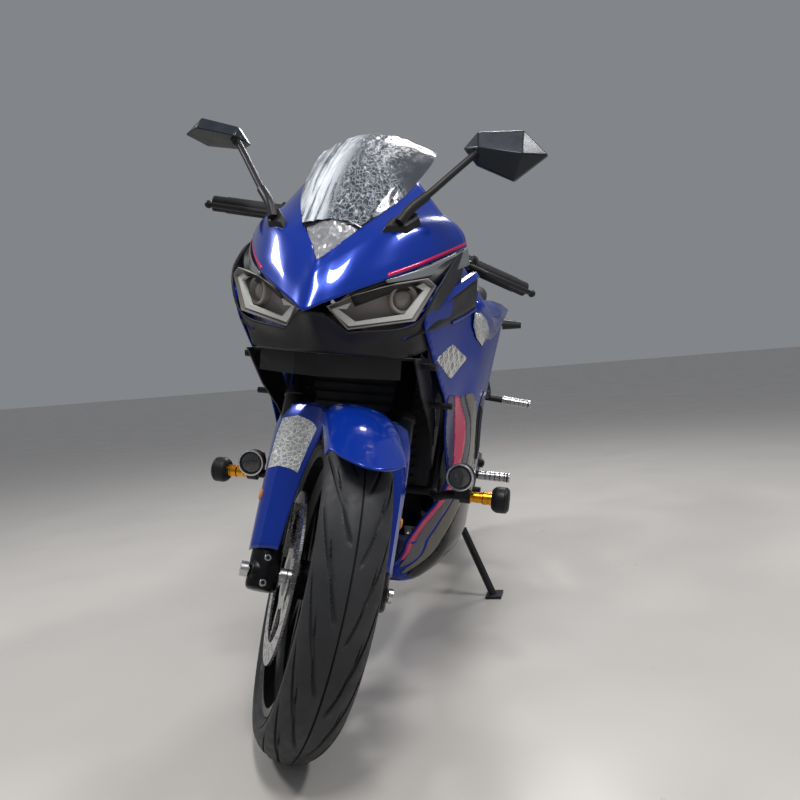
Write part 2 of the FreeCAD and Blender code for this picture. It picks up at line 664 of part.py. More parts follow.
def front_caliper():
    """Two-piece caliper over the disc, behind the right fork leg, with its two lugs."""
    outer = FRONT_DISC_Y - DISC_THICKNESS
    outline = [(-60, 58), (-118, 48), (-140, 84), (-112, 138), (-62, 142), (-44, 100)]
    body = side_plate(outline, outer - 26, FRONT_DISC_Y + 14)
    slot = rod(Vector(0, outer - PAD_GAP, 0), Vector(0, FRONT_DISC_Y + PAD_GAP, 0), FRONT_DISC_RADIUS + 4)
    arms = rod(Vector(0, FRONT_DISC_Y - 0.5, 0), Vector(0, 0, 0), 124)
    pistons = [rod(Vector(x, outer - 26, z), Vector(x, outer - 29, z), 14) for x, z in ((-88, 78), (-80, 112))]
    lugs = [box(-62, -18, -FORK_HALF_SPACING - 8, outer - 20, z, z + 16) for z in (62, 106)]
    leg = rod(Vector(0, -FORK_HALF_SPACING, -50), Vector(0, -FORK_HALF_SPACING, 400), SLIDER_RADIUS + SEAT_GAP)
    return fuse([body.cut(slot).cut(arms)] + pistons + lugs).cut(leg)


def front_mudguard():
    """Hood over the tyre with a peaked front, and two guards that run down in front of the fork legs."""
    inner = FRONT_TYRE_RADIUS + 14
    half = 58.0
    # (radius, y) across the hood: flat crown, falling sides
    outside = [(inner - 26, half + 5), (inner - 2, half), (inner + 9, half * 0.62), (inner + 12, 0),
               (inner + 9, -half * 0.62), (inner - 2, -half), (inner - 26, -half - 5)]
    inside = [(r - SHELL, y * (1 - SHELL / half)) for r, y in reversed(outside)]
    hood = turned_profile(outside + inside)
    # side view of the hood in the fork's frame, from the front tip over the top to the tail
    reach = inner + 60
    wedge = [(0, 0), (reach * 1.3, 150), (reach * 1.2, reach * 1.2), (-reach * 1.2, reach * 1.2), (-reach * 1.3, 150)]
    hood = hood.common(side_plate(wedge, -100, 100))
    guards = []
    for side in (-1, 1):
        y = side * FORK_HALF_SPACING
        gap = SLIDER_RADIUS + SEAT_GAP
        tube = cone(Vector(2, y, 34), Vector(2, y, 300), gap + 5, gap + 9)
        tube = tube.cut(rod(Vector(0, y, 0), Vector(0, y, 400), gap))
        front_half = box(2, 80, y - 60, y + 60, 30, 320)
        lower_cut = side_plate([(-20, 20), (80, 20), (80, 120), (30, 60), (-20, 30)], y - 60, y + 60)
        guards.append(tube.common(front_half).cut(lower_cut))
        bridge = box(4, 30, side * (half - 2), side * (FORK_HALF_SPACING - SLIDER_RADIUS), 236, 290) if side > 0 \
            else box(4, 30, -(FORK_HALF_SPACING - SLIDER_RADIUS), -(half - 2), 236, 290)
        guards.append(bridge.cut(rod(Vector(0, y, 0), Vector(0, y, 400), gap)))
    whole = fuse([hood] + guards)
    clear = rod(Vector(0, -120, 0), Vector(0, 120, 0), inner - SHELL - 3)
    core = clear.common(box(-400, 400, -half + 1, half - 1, -400, 400))
    return whole.cut(core)


def brake_hose():
    """Hose from the caliper up outside the right fork leg to the master cylinder."""
    y = -FORK_HALF_SPACING
    points = [Vector(-72, y - 6, 128), Vector(-62, y - 30, 210), Vector(-34, y - 58, 320),
              Vector(-4, y - 66, 430), Vector(30, y - 62, 540), Vector(52, y - 40, 640), Vector(50, y - 20, 700)]
    return bent_pipe(points, 3.2, 60)


# Frame, engine and running gear, on the upright bike

def head_point(along):
    """Point on the steering axis, measured along it from beside the front axle."""
    return fork_frame().multVec(Vector(-FORK_OFFSET, 0, along))


def main_frame():
    """Steel frame: head tube, two main tubes, braces, pivot plates, seat rails and the stays for the panels."""
    bottom = head_point(LOWER_YOKE_Z + LOWER_YOKE_HEIGHT + 3)
    top = head_point(UPPER_YOKE_Z - 3)
    pieces = [rod(bottom, top, HEAD_TUBE_RADIUS)]
    high = head_point(590)
    low = head_point(540)
    for side in (-1, 1):
        knee = Vector(720, side * 142, 640)
        shoulder = Vector(930, side * 128, 760)
        seat_end = Vector(120, side * 84, 752)
        pieces.append(bent_rod([Vector(high.x - 8, side * 14, high.z), shoulder, knee,
                                     Vector(PIVOT_X + 10, side * PLATE_Y, PIVOT_Z + 60)], 17))
        pieces.append(bent_rod([Vector(low.x - 6, side * 12, low.z), Vector(1010, side * 132, 640),
                                     Vector(900, side * 146, 585), knee], 12))
        pieces.append(bent_rod([knee, Vector(430, side * 112, 690), seat_end,
                                     Vector(-170, side * 42, 790)], 12))
        pieces.append(rod(Vector(PIVOT_X - 10, side * PLATE_Y, PIVOT_Z + 62), Vector(150, side * 86, 747), 10))
        plate = side_plate([(PIVOT_X - 38, PIVOT_Z + 80), (PIVOT_X + 48, PIVOT_Z + 90), (PIVOT_X + 40, PIVOT_Z - 40),
                            (PIVOT_X + 10, PIVOT_Z - 170), (PIVOT_X - 60, PIVOT_Z - 170), (PIVOT_X - 42, PIVOT_Z)],
                           side * (PLATE_Y - PLATE_WALL / 2), side * (PLATE_Y + PLATE_WALL / 2))
        pieces.append(plate)
        for x, z in PANEL_STAYS:
            pieces.append(rod(Vector(x, side * 120, z), Vector(x, side * STAY_Y, z), 9))
    for x, z, reach in FRAME_CROSSES:
        pieces.append(rod(Vector(x, -reach, z), Vector(x, reach, z), 11))
        for x, y, z in TANK_STAYS:
            stay = rod(Vector(x, side * y, z), Vector(x, side * y, 830), 8)
            pieces.append(stay.cut(lofted(grown(TANK_SECTIONS, 0.5))))
        pieces.append(rod(Vector(430, side * 108, 690), Vector(430, side * 108, 727 - SEAT_GAP), 9))
    pieces.append(cowl_stay())
    pieces.append(stand_bracket())
    whole = fuse(pieces)
    bore = rod(head_point(400), head_point(800), STEM_RADIUS + RUNNING_GAP)
    pivot = rod(Vector(PIVOT_X, -200, PIVOT_Z), Vector(PIVOT_X, 200, PIVOT_Z), 9 + RUNNING_GAP)
    return whole.cut(bore).cut(pivot)


def cowl_stay():
    """Bracket from the head tube to the cross bar that holds the cowl, lamps and instruments."""
    arm = box(-FORK_OFFSET, COWL_BAR_X + 4, -18, 18, 566, 594)
    bar = rod(Vector(COWL_BAR_X, -COWL_BAR_HALF, 580), Vector(COWL_BAR_X, COWL_BAR_HALF, 580), 9)
    post = rod(Vector(COWL_BAR_X, 0, 580), Vector(COWL_BAR_X, 0, 580 + 28), 7)
    stay = fuse([arm, bar, post])
    stay.Placement = fork_frame()
    return stay


# Side stand

def stand_axis():
    """Direction of the stand's bolt: tilted, so that the leg splays when down and tucks in when folded."""
    return Vector(0, cos(radians(STAND_BOLT_TILT)), sin(radians(STAND_BOLT_TILT)))


def stand_foot():
    """Place of the foot's sole on the upright bike, so that it meets the road when parked."""
    back = PARKED.inverse()
    x, y = STAND_PIVOT.x + STAND_FOOT_FORWARD, STAND_PIVOT.y + STAND_FOOT_OUT
    low, high = -200.0, 200.0
    for _ in range(60):
        middle = (low + high) / 2
        if PARKED.multVec(Vector(x, y, middle)).z > 0:
            high = middle
        else:
            low = middle
    return Vector(x, y, low), back.Rotation.multVec(Z_AXIS)


def stand_bore():
    axis = stand_axis()
    a = STAND_PIVOT.sub(Vector(axis).multiply(60))
    b = STAND_PIVOT.add(Vector(axis).multiply(60))
    return rod(a, b, 6 + RUNNING_GAP)


def stand_bracket():
    """Two cheeks with the bolt of the pivot, on an arm that is welded to the left pivot plate."""
    axis = stand_axis()
    weld = Vector(PIVOT_X - 26, PLATE_Y, PIVOT_Z - 146)
    reach = weld.sub(STAND_PIVOT)
    rise = reach.dot(axis)
    run = reach.sub(Vector(axis).multiply(rise))
    turn = Rotation(run, Vector(axis).cross(run), axis, "ZXY")
    pieces = [rod(Vector(0, 0, -14), Vector(0, 0, 14), 6)]
    for z0, z1 in ((-14, -8), (8, 14)):
        pieces.append(rod(Vector(0, 0, z0), Vector(0, 0, z1), 17))
        pieces.append(box(0, run.Length + 10, -11, 11, z0, z1))
    pieces.append(box(run.Length - 16, run.Length + 10, -11, 11, -14, rise + 8))
    bracket = fuse(pieces)
    bracket.Placement = Placement(STAND_PIVOT, turn)
    return bracket


def side_stand():
    """Leg with its eye, the sole plate, and the two lugs that a boot or a spring catches."""
    axis = stand_axis()
    foot, up = stand_foot()
    eye_a = STAND_PIVOT.sub(Vector(axis).multiply(8 - SEAT_GAP))
    eye_b = STAND_PIVOT.add(Vector(axis).multiply(8 - SEAT_GAP))
    ankle = foot.add(Vector(up).multiply(4))
    along = ankle.sub(STAND_PIVOT).normalize()
    leg = rod(STAND_PIVOT.add(Vector(along).multiply(30)), ankle, STAND_LEG_RADIUS)
    square = along.sub(Vector(axis).multiply(along.dot(axis))).normalize()
    tongue = box(8, 42, -9, 9, SEAT_GAP - 8, 8 - SEAT_GAP)
    tongue.Placement = Placement(STAND_PIVOT, Rotation(square, Vector(axis).cross(square), axis, "ZXY"))
    below = Part.makeBox(200, 200, 60, Vector(-100, -100, -60))
    below.Placement = Placement(foot, PARKED.inverse().Rotation)
    plate = Part.makeBox(64, 42, 7, Vector(-34, -18, 0))
    plate.Placement = Placement(foot, PARKED.inverse().Rotation)
    lugs = []
    for out in (26, -20):
        base = STAND_PIVOT.add(Vector(along).multiply(ankle.sub(STAND_PIVOT).Length * 0.45))
        side_way = Vector(axis).cross(along).normalize()
        lugs.append(rod(base, base.add(Vector(side_way).multiply(out)), 4.5))
    whole = fuse([rod(eye_a, eye_b, 15), tongue, leg.cut(below), plate] + lugs)
    return whole.cut(stand_bore())


# Engine and exhaust

def engine():
    """Twin-cylinder engine: crankcase, inclined cylinder and head, round covers, sump, sprocket cover."""
    gearbox = side_plate([(612, 335), (716, 300), (716, 500), (640, 496), (612, 450)], -104, 66)
    case = side_plate([(716, 292), (880, 285), (936, 330), (942, 430), (884, 520), (716, 510)], -108, 104)
    cylinder = side_plate([(770, 500), (905, 470), HEAD_FACE[0], (836, 690)], -92, 92)
    head = side_plate([(836, 690), HEAD_FACE[0], HEAD_FACE[1], (872, 762), (842, 742)], -102, 102)
    sump = side_plate([(730, 262), (880, 262), (900, 290), (716, 300)], -60, 60)
    clutch = rod(Vector(770, -106, 398), Vector(770, -134, 398), 78)
    clutch_face = rod(Vector(770, -133, 398), Vector(770, -140, 398), 58)
    generator = rod(Vector(862, 102, 380), Vector(862, 128, 380), 60)
    boss = rod(Vector(862, 127, 380), Vector(862, 134, 380), 26)
    cover = side_plate([(622, 352), (640, 335), (720, 335), (720, 466), (640, 468)], 100, 108)
    joint = box(690, 722, 60, 104, 335, 350)
    pieces = [gearbox, case, cylinder, head, sump, clutch, clutch_face, generator, boss, cover, joint]
    for x, z in ENGINE_BOLTS:
        reach = PLATE_Y - 17 if z > PIVOT_Z else PLATE_Y - PLATE_WALL / 2 - SEAT_GAP
        pieces.append(rod(Vector(x, -reach, z), Vector(x, reach, z), 10))
        pieces.append(box(x, 640, -98, 60, z - 9, z + 9))
    return fuse(pieces)


def exhaust_pipe():
    """Two header pipes that join under the engine and rise to the silencer on the right."""
    y = 38
    pieces = []
    for side in (-1, 1):
        pieces.append(bent_pipe([Vector(960, side * y, 682), Vector(1022, side * y, 650), Vector(1018, side * y, 470),
                                 Vector(990, side * (y - 4), 300), Vector(960, side * 22, 228),
                                 Vector(820, -8 + side * 14, 228)], 17, 42))
        pieces.append(rod(Vector(960, side * y, 682), Vector(985, side * y, 669), 25))
    into = SILENCER_END.sub(SILENCER_START).normalize()
    corner = SILENCER_START.sub(Vector(into).multiply(80))
    pieces.append(rod(Vector(828, -8, 228), Vector(640, -40, 230), 25))
    pieces.append(bent_pipe([Vector(660, -36, 230), Vector(520, -60, 234), corner,
                             SILENCER_START.add(Vector(into).multiply(20))], 20, 55))
    (x0, z0), (x1, z1) = HEAD_FACE
    slope = (x1 - x0) / (z1 - z0)
    behind = side_plate([(x0 - slope * 60 + SEAT_GAP, z0 - 60), (x1 + slope * 40 + SEAT_GAP, z1 + 40),
                         (800, z1 + 40), (800, z0 - 60)], -80, 80)
    return fuse(pieces).cut(behind)


def silencer():
    """Silencer can with tapered ends, an open outlet and its hanger."""
    start, end = SILENCER_START, SILENCER_END
    along = end.sub(start).normalize()
    a = start.add(Vector(along).multiply(45))
    b = end.sub(Vector(along).multiply(40))
    body = fuse([cone(start, a, 24, 50), rod(a, b, 50), cone(b, end, 50, 36)])
    outlet = rod(b, end.add(Vector(along).multiply(2)), 19)
    socket = rod(start.sub(Vector(along).multiply(5)), start.add(Vector(along).multiply(30)), 20 + RUNNING_GAP)
    hanger = bent_rod([Vector(172, -201, 432), Vector(196, -196, 500), Vector(231, -176, 556)], 7)
    inside = rod(a, b, 45)
    return fuse([body, hanger.cut(inside)]).cut(outlet).cut(socket)


def radiator():
    """Core with its side tanks and guard slats, leaning forward behind the front wheel."""
    core = box(RADIATOR_X - 16, RADIATOR_X + 16, -118, 118, RADIATOR_Z - 105, RADIATOR_Z + 105)
    slats = []
    for k in range(10):
        z = RADIATOR_Z - 94 + k * 20
        slats.append(box(RADIATOR_X + 9, RADIATOR_X + 18, -112, 112, z, z + 9))
    core = core.cut(Part.makeCompound(slats))
    tanks = [box(RADIATOR_X - 20, RADIATOR_X + 20, y0, y1, RADIATOR_Z - 110, RADIATOR_Z + 110)
             for y0, y1 in ((-140, -118), (118, 140))]
    filler = rod(Vector(RADIATOR_X, 128, RADIATOR_Z + 105), Vector(RADIATOR_X, 128, RADIATOR_Z + 128), 14)
    stubs = [rod(Vector(RADIATOR_X - 10, y, RADIATOR_Z + 40), Vector(1018, y, 625), 7) for y in (-130, 130)]
    return fuse([core] + tanks + [filler] + stubs)


# Swing arm and shock

def swing_arm():
    """Box-section arms, cross tube, pivot tube, axle blocks and the rear axle with its spacers."""
    outline = [(-58, 292), (-58, 338), (-20, 344), (300, 420), (480, 448), (598, 434), (604, 392),
               (590, 386), (470, 382), (60, 286)]
    arms = []
    for side in (-1, 1):
        arms.append(side_plate(outline, side * ARM_INNER_Y, side * (ARM_INNER_Y + ARM_WIDTH)))
    cross = rod(Vector(400, -ARM_INNER_Y - 4, 402), Vector(400, ARM_INNER_Y + 4, 402), 22)
    tube = rod(Vector(PIVOT_X, -ARM_INNER_Y - 4, PIVOT_Z), Vector(PIVOT_X, ARM_INNER_Y + 4, PIVOT_Z), 20)
    bolt = rod(Vector(PIVOT_X, -PLATE_Y - 12, PIVOT_Z), Vector(PIVOT_X, PLATE_Y + 12, PIVOT_Z), 9)
    outer = ARM_INNER_Y + ARM_WIDTH
    axle = rod(Vector(0, -outer - 16, REAR_TYRE_RADIUS), Vector(0, outer + 16, REAR_TYRE_RADIUS), REAR_AXLE_RADIUS)
    caps = [rod(Vector(0, side * outer, REAR_TYRE_RADIUS), Vector(0, side * (outer + 12), REAR_TYRE_RADIUS), 15)
            for side in (-1, 1)]
    left = rod(Vector(0, 92 + SEAT_GAP, REAR_TYRE_RADIUS), Vector(0, ARM_INNER_Y, REAR_TYRE_RADIUS), 15)
    right = rod(Vector(0, -ARM_INNER_Y, REAR_TYRE_RADIUS),
                Vector(0, REAR_DISC_Y - DISC_THICKNESS - SEAT_GAP, REAR_TYRE_RADIUS), 15)
    mount = side_plate([(372, 418), (428, 418), (412, 452), (388, 452)], -16, 16)
    return fuse(arms + [cross, tube, bolt, axle, left, right, mount] + caps)


def shock():
    """Spring and damper between the swing arm and the frame."""
    low, high = Vector(402, 0, 456), Vector(461, 0, 668)
    along = high.sub(low).normalize()
    a = low.add(Vector(along).multiply(34))
    b = high.sub(Vector(along).multiply(24))
    body = fuse([rod(low, high, 12), rod(a, b, 26), rod(a, a.add(Vector(along).multiply(8)), 35),
                 rod(b.sub(Vector(along).multiply(8)), b, 35)])
    coils = []
    length = b.sub(a).Length - 24
    for k in range(8):
        centre = a.add(Vector(along).multiply(16 + length * k / 7))
        coil = turned_profile([(30 + 5.5 * cos(pi / 4 * k + 0.4), 5.5 * sin(pi / 4 * k + 0.4)) for k in range(8)])
        coil.Placement = Placement(centre, Rotation(Y_AXIS, Vector(along.x + 0.10, 0.10, along.z)))
        coils.append(coil)
    return fuse([body] + coils)


def chain():
    """Drive chain with the front sprocket that carries it."""
    loop, front = chain_loop()
    radius = circle_radius(FRONT_SPROCKET_TEETH) - 4.2
    wheel = rod(Vector(front.x, CHAIN_Y - 3.5, front.z), Vector(front.x, CHAIN_Y + 3.5, front.z), radius)
    shaft = rod(Vector(front.x, 66 + SEAT_GAP, front.z), Vector(front.x, CHAIN_Y + 9, front.z), 13)
    web = []
    for k in range(FRONT_SPROCKET_TEETH):
        angle = 2 * pi * k / FRONT_SPROCKET_TEETH
        if cos(angle) > 0.1:
            end = Vector(front.x + (radius + 2) * cos(angle), CHAIN_Y, front.z + (radius + 2) * sin(angle))
            web.append(rod(Vector(front.x, CHAIN_Y, front.z), end, 2.5))
    return fuse([loop, wheel, shaft] + web)


def rear_caliper():
    """Caliper over the top of the rear disc, on the inside of the swing arm."""
    z = REAR_TYRE_RADIUS
    outer = REAR_DISC_Y - DISC_THICKNESS
    outline = [(30, z + 62), (92, z + 36), (122, z + 74), (46, z + 124)]
    body = side_plate(outline, -ARM_INNER_Y + SEAT_GAP, REAR_DISC_Y + 14)
    slot = rod(Vector(0, outer - PAD_GAP, z), Vector(0, REAR_DISC_Y + PAD_GAP, z), REAR_DISC_RADIUS + 4)
    arms = rod(Vector(0, REAR_DISC_Y - 0.5, z), Vector(0, 0, z), 90)
    return largest(body.cut(slot).cut(arms))


# Footrests and pedals

def footrests(side):
    """Rider's hanger, heel plate, pegs and pedal, and the passenger's peg on its own bracket."""
    y0 = side * (PLATE_Y + PLATE_WALL / 2 + SEAT_GAP)
    y1 = y0 + side * 9
    hanger = side_plate([(PIVOT_X - 32, PIVOT_Z + 38), (PIVOT_X + 12, PIVOT_Z + 30), (PIVOT_X - 4, PIVOT_Z - 60),
                         (460, 330), (420, 326), (412, 352), (470, 410)], y0, y1)
    hanger = hanger.cut(rod(Vector(PIVOT_X, -300, PIVOT_Z), Vector(PIVOT_X, 300, PIVOT_Z), 24))
    peg = rod(Vector(436, y1 - side * 2, 347), Vector(436, side * 255, 347), 11)
    knob = rod(Vector(436, side * 250, 347), Vector(436, side * 258, 347), 13)
    pedal_pivot = rod(Vector(466, y1 - side * 2, 345), Vector(466, y1 + side * 12, 345), 9)
    pedal_y = y1 + side * 12
    pedal = bent_rod([Vector(466, pedal_y, 345), Vector(540, pedal_y + side * 4, 322),
                           Vector(606, pedal_y + side * 6, 336)], 5.5)
    toe = rod(Vector(606, pedal_y, 336), Vector(606, pedal_y + side * 34, 336), 8)
    rib = [rod(Vector(436, side * (190 + 13 * k), 347), Vector(436, side * (195 + 13 * k), 347), 12.4)
           for k in range(5)]
    return fuse([hanger, peg, knob, pedal_pivot, pedal, toe] + rib)


def passenger_footrests(side):
    """Triangular hanger under the seat rail with the folding peg."""
    stay = bent_rod([Vector(360, side * 142, 608), Vector(256, side * 168, 548),
                          Vector(240, side * 134, 686)], 8)
    ends = [rod(Vector(360, side * 126.6, 608), Vector(360, side * 144, 608), 7),
            rod(Vector(240, side * 114.6, 686), Vector(240, side * 136, 686), 7)]
    peg = rod(Vector(256, side * 148, 556), Vector(256, side * 290, 543), 10)
    start, end = Vector(256, side * 148, 556), Vector(256, side * 290, 543)
    along = end.sub(start).normalize()
    rib = []
    for k in range(6):
        middle = start.add(Vector(along).multiply(66 + 13 * k))
        rib.append(rod(middle, middle.add(Vector(along).multiply(5)), 11.6))
    return fuse([stay, peg] + ends + rib)


# Body panels

def grown(table, amount):
    """The same sections moved outwards by the amount; inwards where it is negative."""
    rows = []
    for x, top, shoulder, shoulder_z, waist, waist_z, foot, foot_z in table:
        rows.append((x, top + amount, shoulder + amount, shoulder_z + amount * 0.7, waist + amount, waist_z,
                     foot + amount * 0.8, foot_z - amount * 0.6))
    return rows


def fuel_tank():
    """Tank with knee recesses, a raised shoulder line and the filler ring."""
    body = lofted(TANK_SECTIONS)
    ring_part = ring(Vector(905, 0, 940), Vector(905, 0, 972), 42, 34)
    body = fuse([body, ring_part])
    return body.cut(rod(Vector(905, 0, 961), Vector(905, 0, 990), 34 + SEAT_GAP))


def fuel_cap():
    """Round cap with a hinge lug and a keyhole slot."""
    cap = rod(Vector(905, 0, 961), Vector(905, 0, 974), 34)
    rim = Part.makeTorus(31, 2.5, Vector(905, 0, 974), Z_AXIS)
    lug = box(862, 878, -9, 9, 961 + 11, 979)
    key = box(896, 914, -3, 3, 971, 980)
    return fuse([cap, rim, lug]).cut(key)


def rider_seat():
    """Low seat between the tank and the step, resting on rubbers on the seat rails."""
    return lofted(RIDER_SEAT_SECTIONS).cut(lofted(grown(TAIL_SECTIONS, 0.4)))


def passenger_seat():
    """Raised pad on the tail."""
    return lofted(PASSENGER_SEAT_SECTIONS).cut(lofted(grown(TAIL_SECTIONS, 0.4)))


def tail_cowl():
    """Tail shell, open below, with the place of the rider's seat cut out."""
    outer = lofted(TAIL_SECTIONS)
    rows = []
    for x, top, shoulder, shoulder_z, waist, waist_z, foot, foot_z in TAIL_SECTIONS:
        lean_in = (waist - foot) / (waist_z - foot_z)
        rows.append((x + (8 if x < 0 else 0), top - SHELL, shoulder - SHELL, shoulder_z - SHELL * 0.7,
                     waist - SHELL, waist_z, foot - SHELL - TAIL_DEPTH * lean_in, foot_z - TAIL_DEPTH))
    rows[0] = (rows[0][0] + 30,) + rows[0][1:]
    whole = outer.cut(lofted(rows))
    whole = whole.cut(side_plate([(180, 900), (180, 780), (200, 757), (420, 724), (700, 724), (700, 900)], -200, 200))
    stays = []
    for side in (-1, 1):
        for x, y0, y1, z in ((240, 107.6, 128, 724), (20, 82.6, 108, 767)):
            stays.append(rod(Vector(x, side * y0, z), Vector(x, side * y1, z), 6))
    return fuse([largest(whole)] + stays)


def largest(shape):
    """The main solid of a cut piece."""
    return max(shape.Solids, key=lambda s: s.Volume)


def tail_light():
    """Wrap-round lens at the end of the tail."""
    outer = lofted(TAIL_SECTIONS)
    block = outer.common(side_plate([(-345, 800), (-345, 900), (-302, 880), (-310, 810)], -80, 80))
    block.translate(Vector(-43 - SEAT_GAP, 0, -1))
    return block


def rear_mudguard():
    """Plate holder with the mudguard spine, the two indicator stalks and the blank plate."""
    spine = side_plate([(-170, 800), (-215, 806), (-300, 690), (-392, 500), (-380, 494), (-286, 672), (-200, 740)],
                       -38, 38)
    plate = side_plate([(-392, 620), (-396, 622), (-446, 480), (-442, 478)], -95, 95)
    arms = [rod(Vector(-236, side * 30, 775), Vector(-262, side * 150, 783), 6) for side in (-1, 1)]
    lenses = []
    for side in (-1, 1):
        pod = cone(Vector(-262, side * 140, 783), Vector(-266, side * 206, 785), 19, 12)
        lenses.append(pod)
    return fuse([spine] + arms + lenses)


def nose_section(z, scale_in):
    """Plan outline of the nose at one height, from the table; moved in by the wall where asked."""
    name, centre, one, two, three, four = z, *NOSE_SECTIONS[z]
    points = [(centre, 0), one, two, three, four]
    left = []
    for x, y in points:
        left.append(Vector(x - scale_in * 1.2, max(0, y - scale_in * (0 if y == 0 else 1)), z))
    rear = Vector(left[-1].x - (30 if scale_in else 0), left[-1].y, z)
    left[-1] = rear
    right = [Vector(p.x, -p.y, p.z) for p in reversed(left[1:])]
    ring_points = left + right
    return Part.makePolygon(ring_points + [ring_points[0]])


def nose_form(scale_in):
    heights = sorted(NOSE_SECTIONS)
    wires = [nose_section(z, scale_in) for z in heights]
    return Part.makeLoft(wires, True, True)


def lamp_prism(side, inset):
    """Lamp outline seen from the front, run through the nose."""
    cy = sum(y for y, z in LAMP_OUTLINE) / len(LAMP_OUTLINE)
    cz = sum(z for y, z in LAMP_OUTLINE) / len(LAMP_OUTLINE)
    points = []
    for y, z in LAMP_OUTLINE:
        length = hypot(y - cy, z - cz)
        points.append((side * (y - (y - cy) / length * inset), z - (z - cz) / length * inset))
    return front_plate(points, 1290, 1560)


def nose_cowl():
    """Upper cowl: a pointed shell round the lamps that carries the screen."""
    outer = nose_form(0)
    bottom = min(NOSE_SECTIONS) - 1
    inner = nose_form(SHELL)
    cavity = inner.fuse(box(1230, 1440, -120, 120, bottom, bottom + 8))
    whole = outer.cut(cavity)
    opening = [(1440, screen_edge(1440)), (1200, screen_edge(1200)), (1200, 1100), (1440, 1100)]
    whole = whole.cut(side_plate(opening, -300, 300))
    for side in (-1, 1):
        whole = whole.cut(lamp_prism(side, 0))
        under = side_plate(COWL_UNDERCUT, side * 100, side * 300)
        whole = whole.cut(under)
    return largest(whole)


def headlight(side):
    """Lamp body behind its slanted lens, with the round projector set into it."""
    outer = nose_form(1.2)
    lens = outer.common(lamp_prism(side, 0.8)).common(box(1300, 1560, -300, 300, 600, 900))
    lens = largest(lens)
    back = Vector(1290, side * 96, 772)
    return lens.cut(box(1200, 1345, -300, 300, 600, 900))


def screen_edge(x):
    """Height of the cowl's upper edge, where the screen sits."""
    return SCREEN_FOOT[1] + SCREEN_RISE * (SCREEN_FOOT[0] - x)


def windscreen():
    """Curved screen, one wall thick, through arcs across the bike."""
    layers = []
    for drop in (0, SCREEN_WALL):
        wires = []
        for x, half, rise in SCREEN_SECTIONS:
            edge = screen_edge(x) + SCREEN_WALL + SEAT_GAP - drop
            a, b, c = Vector(x, half, edge), Vector(x, 0, edge + rise), Vector(x, -half, edge)
            low = [c, Vector(x, -half, edge - 60), Vector(x, half, edge - 60), a]
            wires.append(Part.Wire([Part.Arc(a, b, c).toShape()] + Part.makePolygon(low).Edges))
        layers.append(Part.makeLoft(wires, True, False))
    solid = layers[0].cut(layers[1])
    above = [(1420, screen_edge(1420) + SEAT_GAP), (1392, screen_edge(1392) + SEAT_GAP),
             (1090, screen_edge(1090) + SEAT_GAP), (1090, 1180), (1420, 1180)]
    return largest(solid.common(side_plate(above, -200, 200)))


def side_panel_form(side):
    """Side of the fairing as a thin loft through upright sections."""
    wires = []
    for row in SIDE_SECTIONS:
        x, points = row[0], row[1:]
        outer = [Vector(x, side * y, z) for y, z in zip(points, SIDE_CREASES)]
        inner = [Vector(x, side * (y - SHELL), z) for y, z in zip(points, SIDE_CREASES)]
        loop = outer + list(reversed(inner))
        wires.append(Part.makePolygon(loop + [loop[0]]))
    return Part.makeLoft(wires, True, False)


def side_fairing(side):
    """Side panel cut to its outline, with the air outlet and bosses to the frame's stays."""
    form = side_panel_form(side)
    panel = form.common(side_plate(SIDE_OUTLINE, side * 60, side * 320))
    panel = panel.cut(side_plate(SIDE_OUTLET, side * 60, side * 320))
    panel = panel.cut(side_plate(INDICATOR_OUTLINE, side * 60, side * 320))
    bosses = []
    for x, z in PANEL_STAYS:
        bosses.append(rod(Vector(x, side * (STAY_Y + SEAT_GAP), z), Vector(x, side * (STAY_Y + 70), z), 7))
    bosses = [b.cut(form_outside(side, SHELL / 2)) for b in bosses]
    return fuse([largest(panel)] + bosses)


def form_outside(side, depth):
    """All the space outside the side panel, from a surface that lies the depth inside its outer face."""
    wires = []
    for row in SIDE_SECTIONS:
        x, points = row[0], row[1:]
        inner = [Vector(x, side * (y - depth), z) for y, z in zip(points, SIDE_CREASES)]
        loop = inner + [Vector(x, side * 420, SIDE_CREASES[-1]), Vector(x, side * 420, SIDE_CREASES[0])]
        wires.append(Part.makePolygon(loop + [loop[0]]))
    return Part.makeLoft(wires, True, False)


def belly_pan():
    """Trough under the engine, bolted between the two side panels."""
    wires = []
    for x, half, edge_z, low_half, low_z in BELLY_SECTIONS:
        outer = [(half, edge_z), (low_half, low_z), (-low_half, low_z), (-half, edge_z)]
        inner = [(-half + SHELL, edge_z), (-low_half + SHELL * 0.6, low_z + SHELL),
                 (low_half - SHELL * 0.6, low_z + SHELL), (half - SHELL, edge_z)]
        loop = [Vector(x, y, z) for y, z in outer + inner]
        wires.append(Part.makePolygon(loop + [loop[0]]))
    pieces = [Part.makeLoft(wires, True, True)]
    for side in (-1, 1):
        for x, z in BELLY_BOLTS:
            bolt = rod(Vector(x, side * 132, z), Vector(x, side * 200, z), 6)
            tab = box(x - 10, x + 10, side * 134, side * 138, z - 26, z + 8) if side > 0 \
                else box(x - 10, x + 10, side * 138, side * 134, z - 26, z + 8)
            pieces += [bolt.cut(form_outside(side, SHELL + SEAT_GAP)), tab]
    return fuse(pieces)


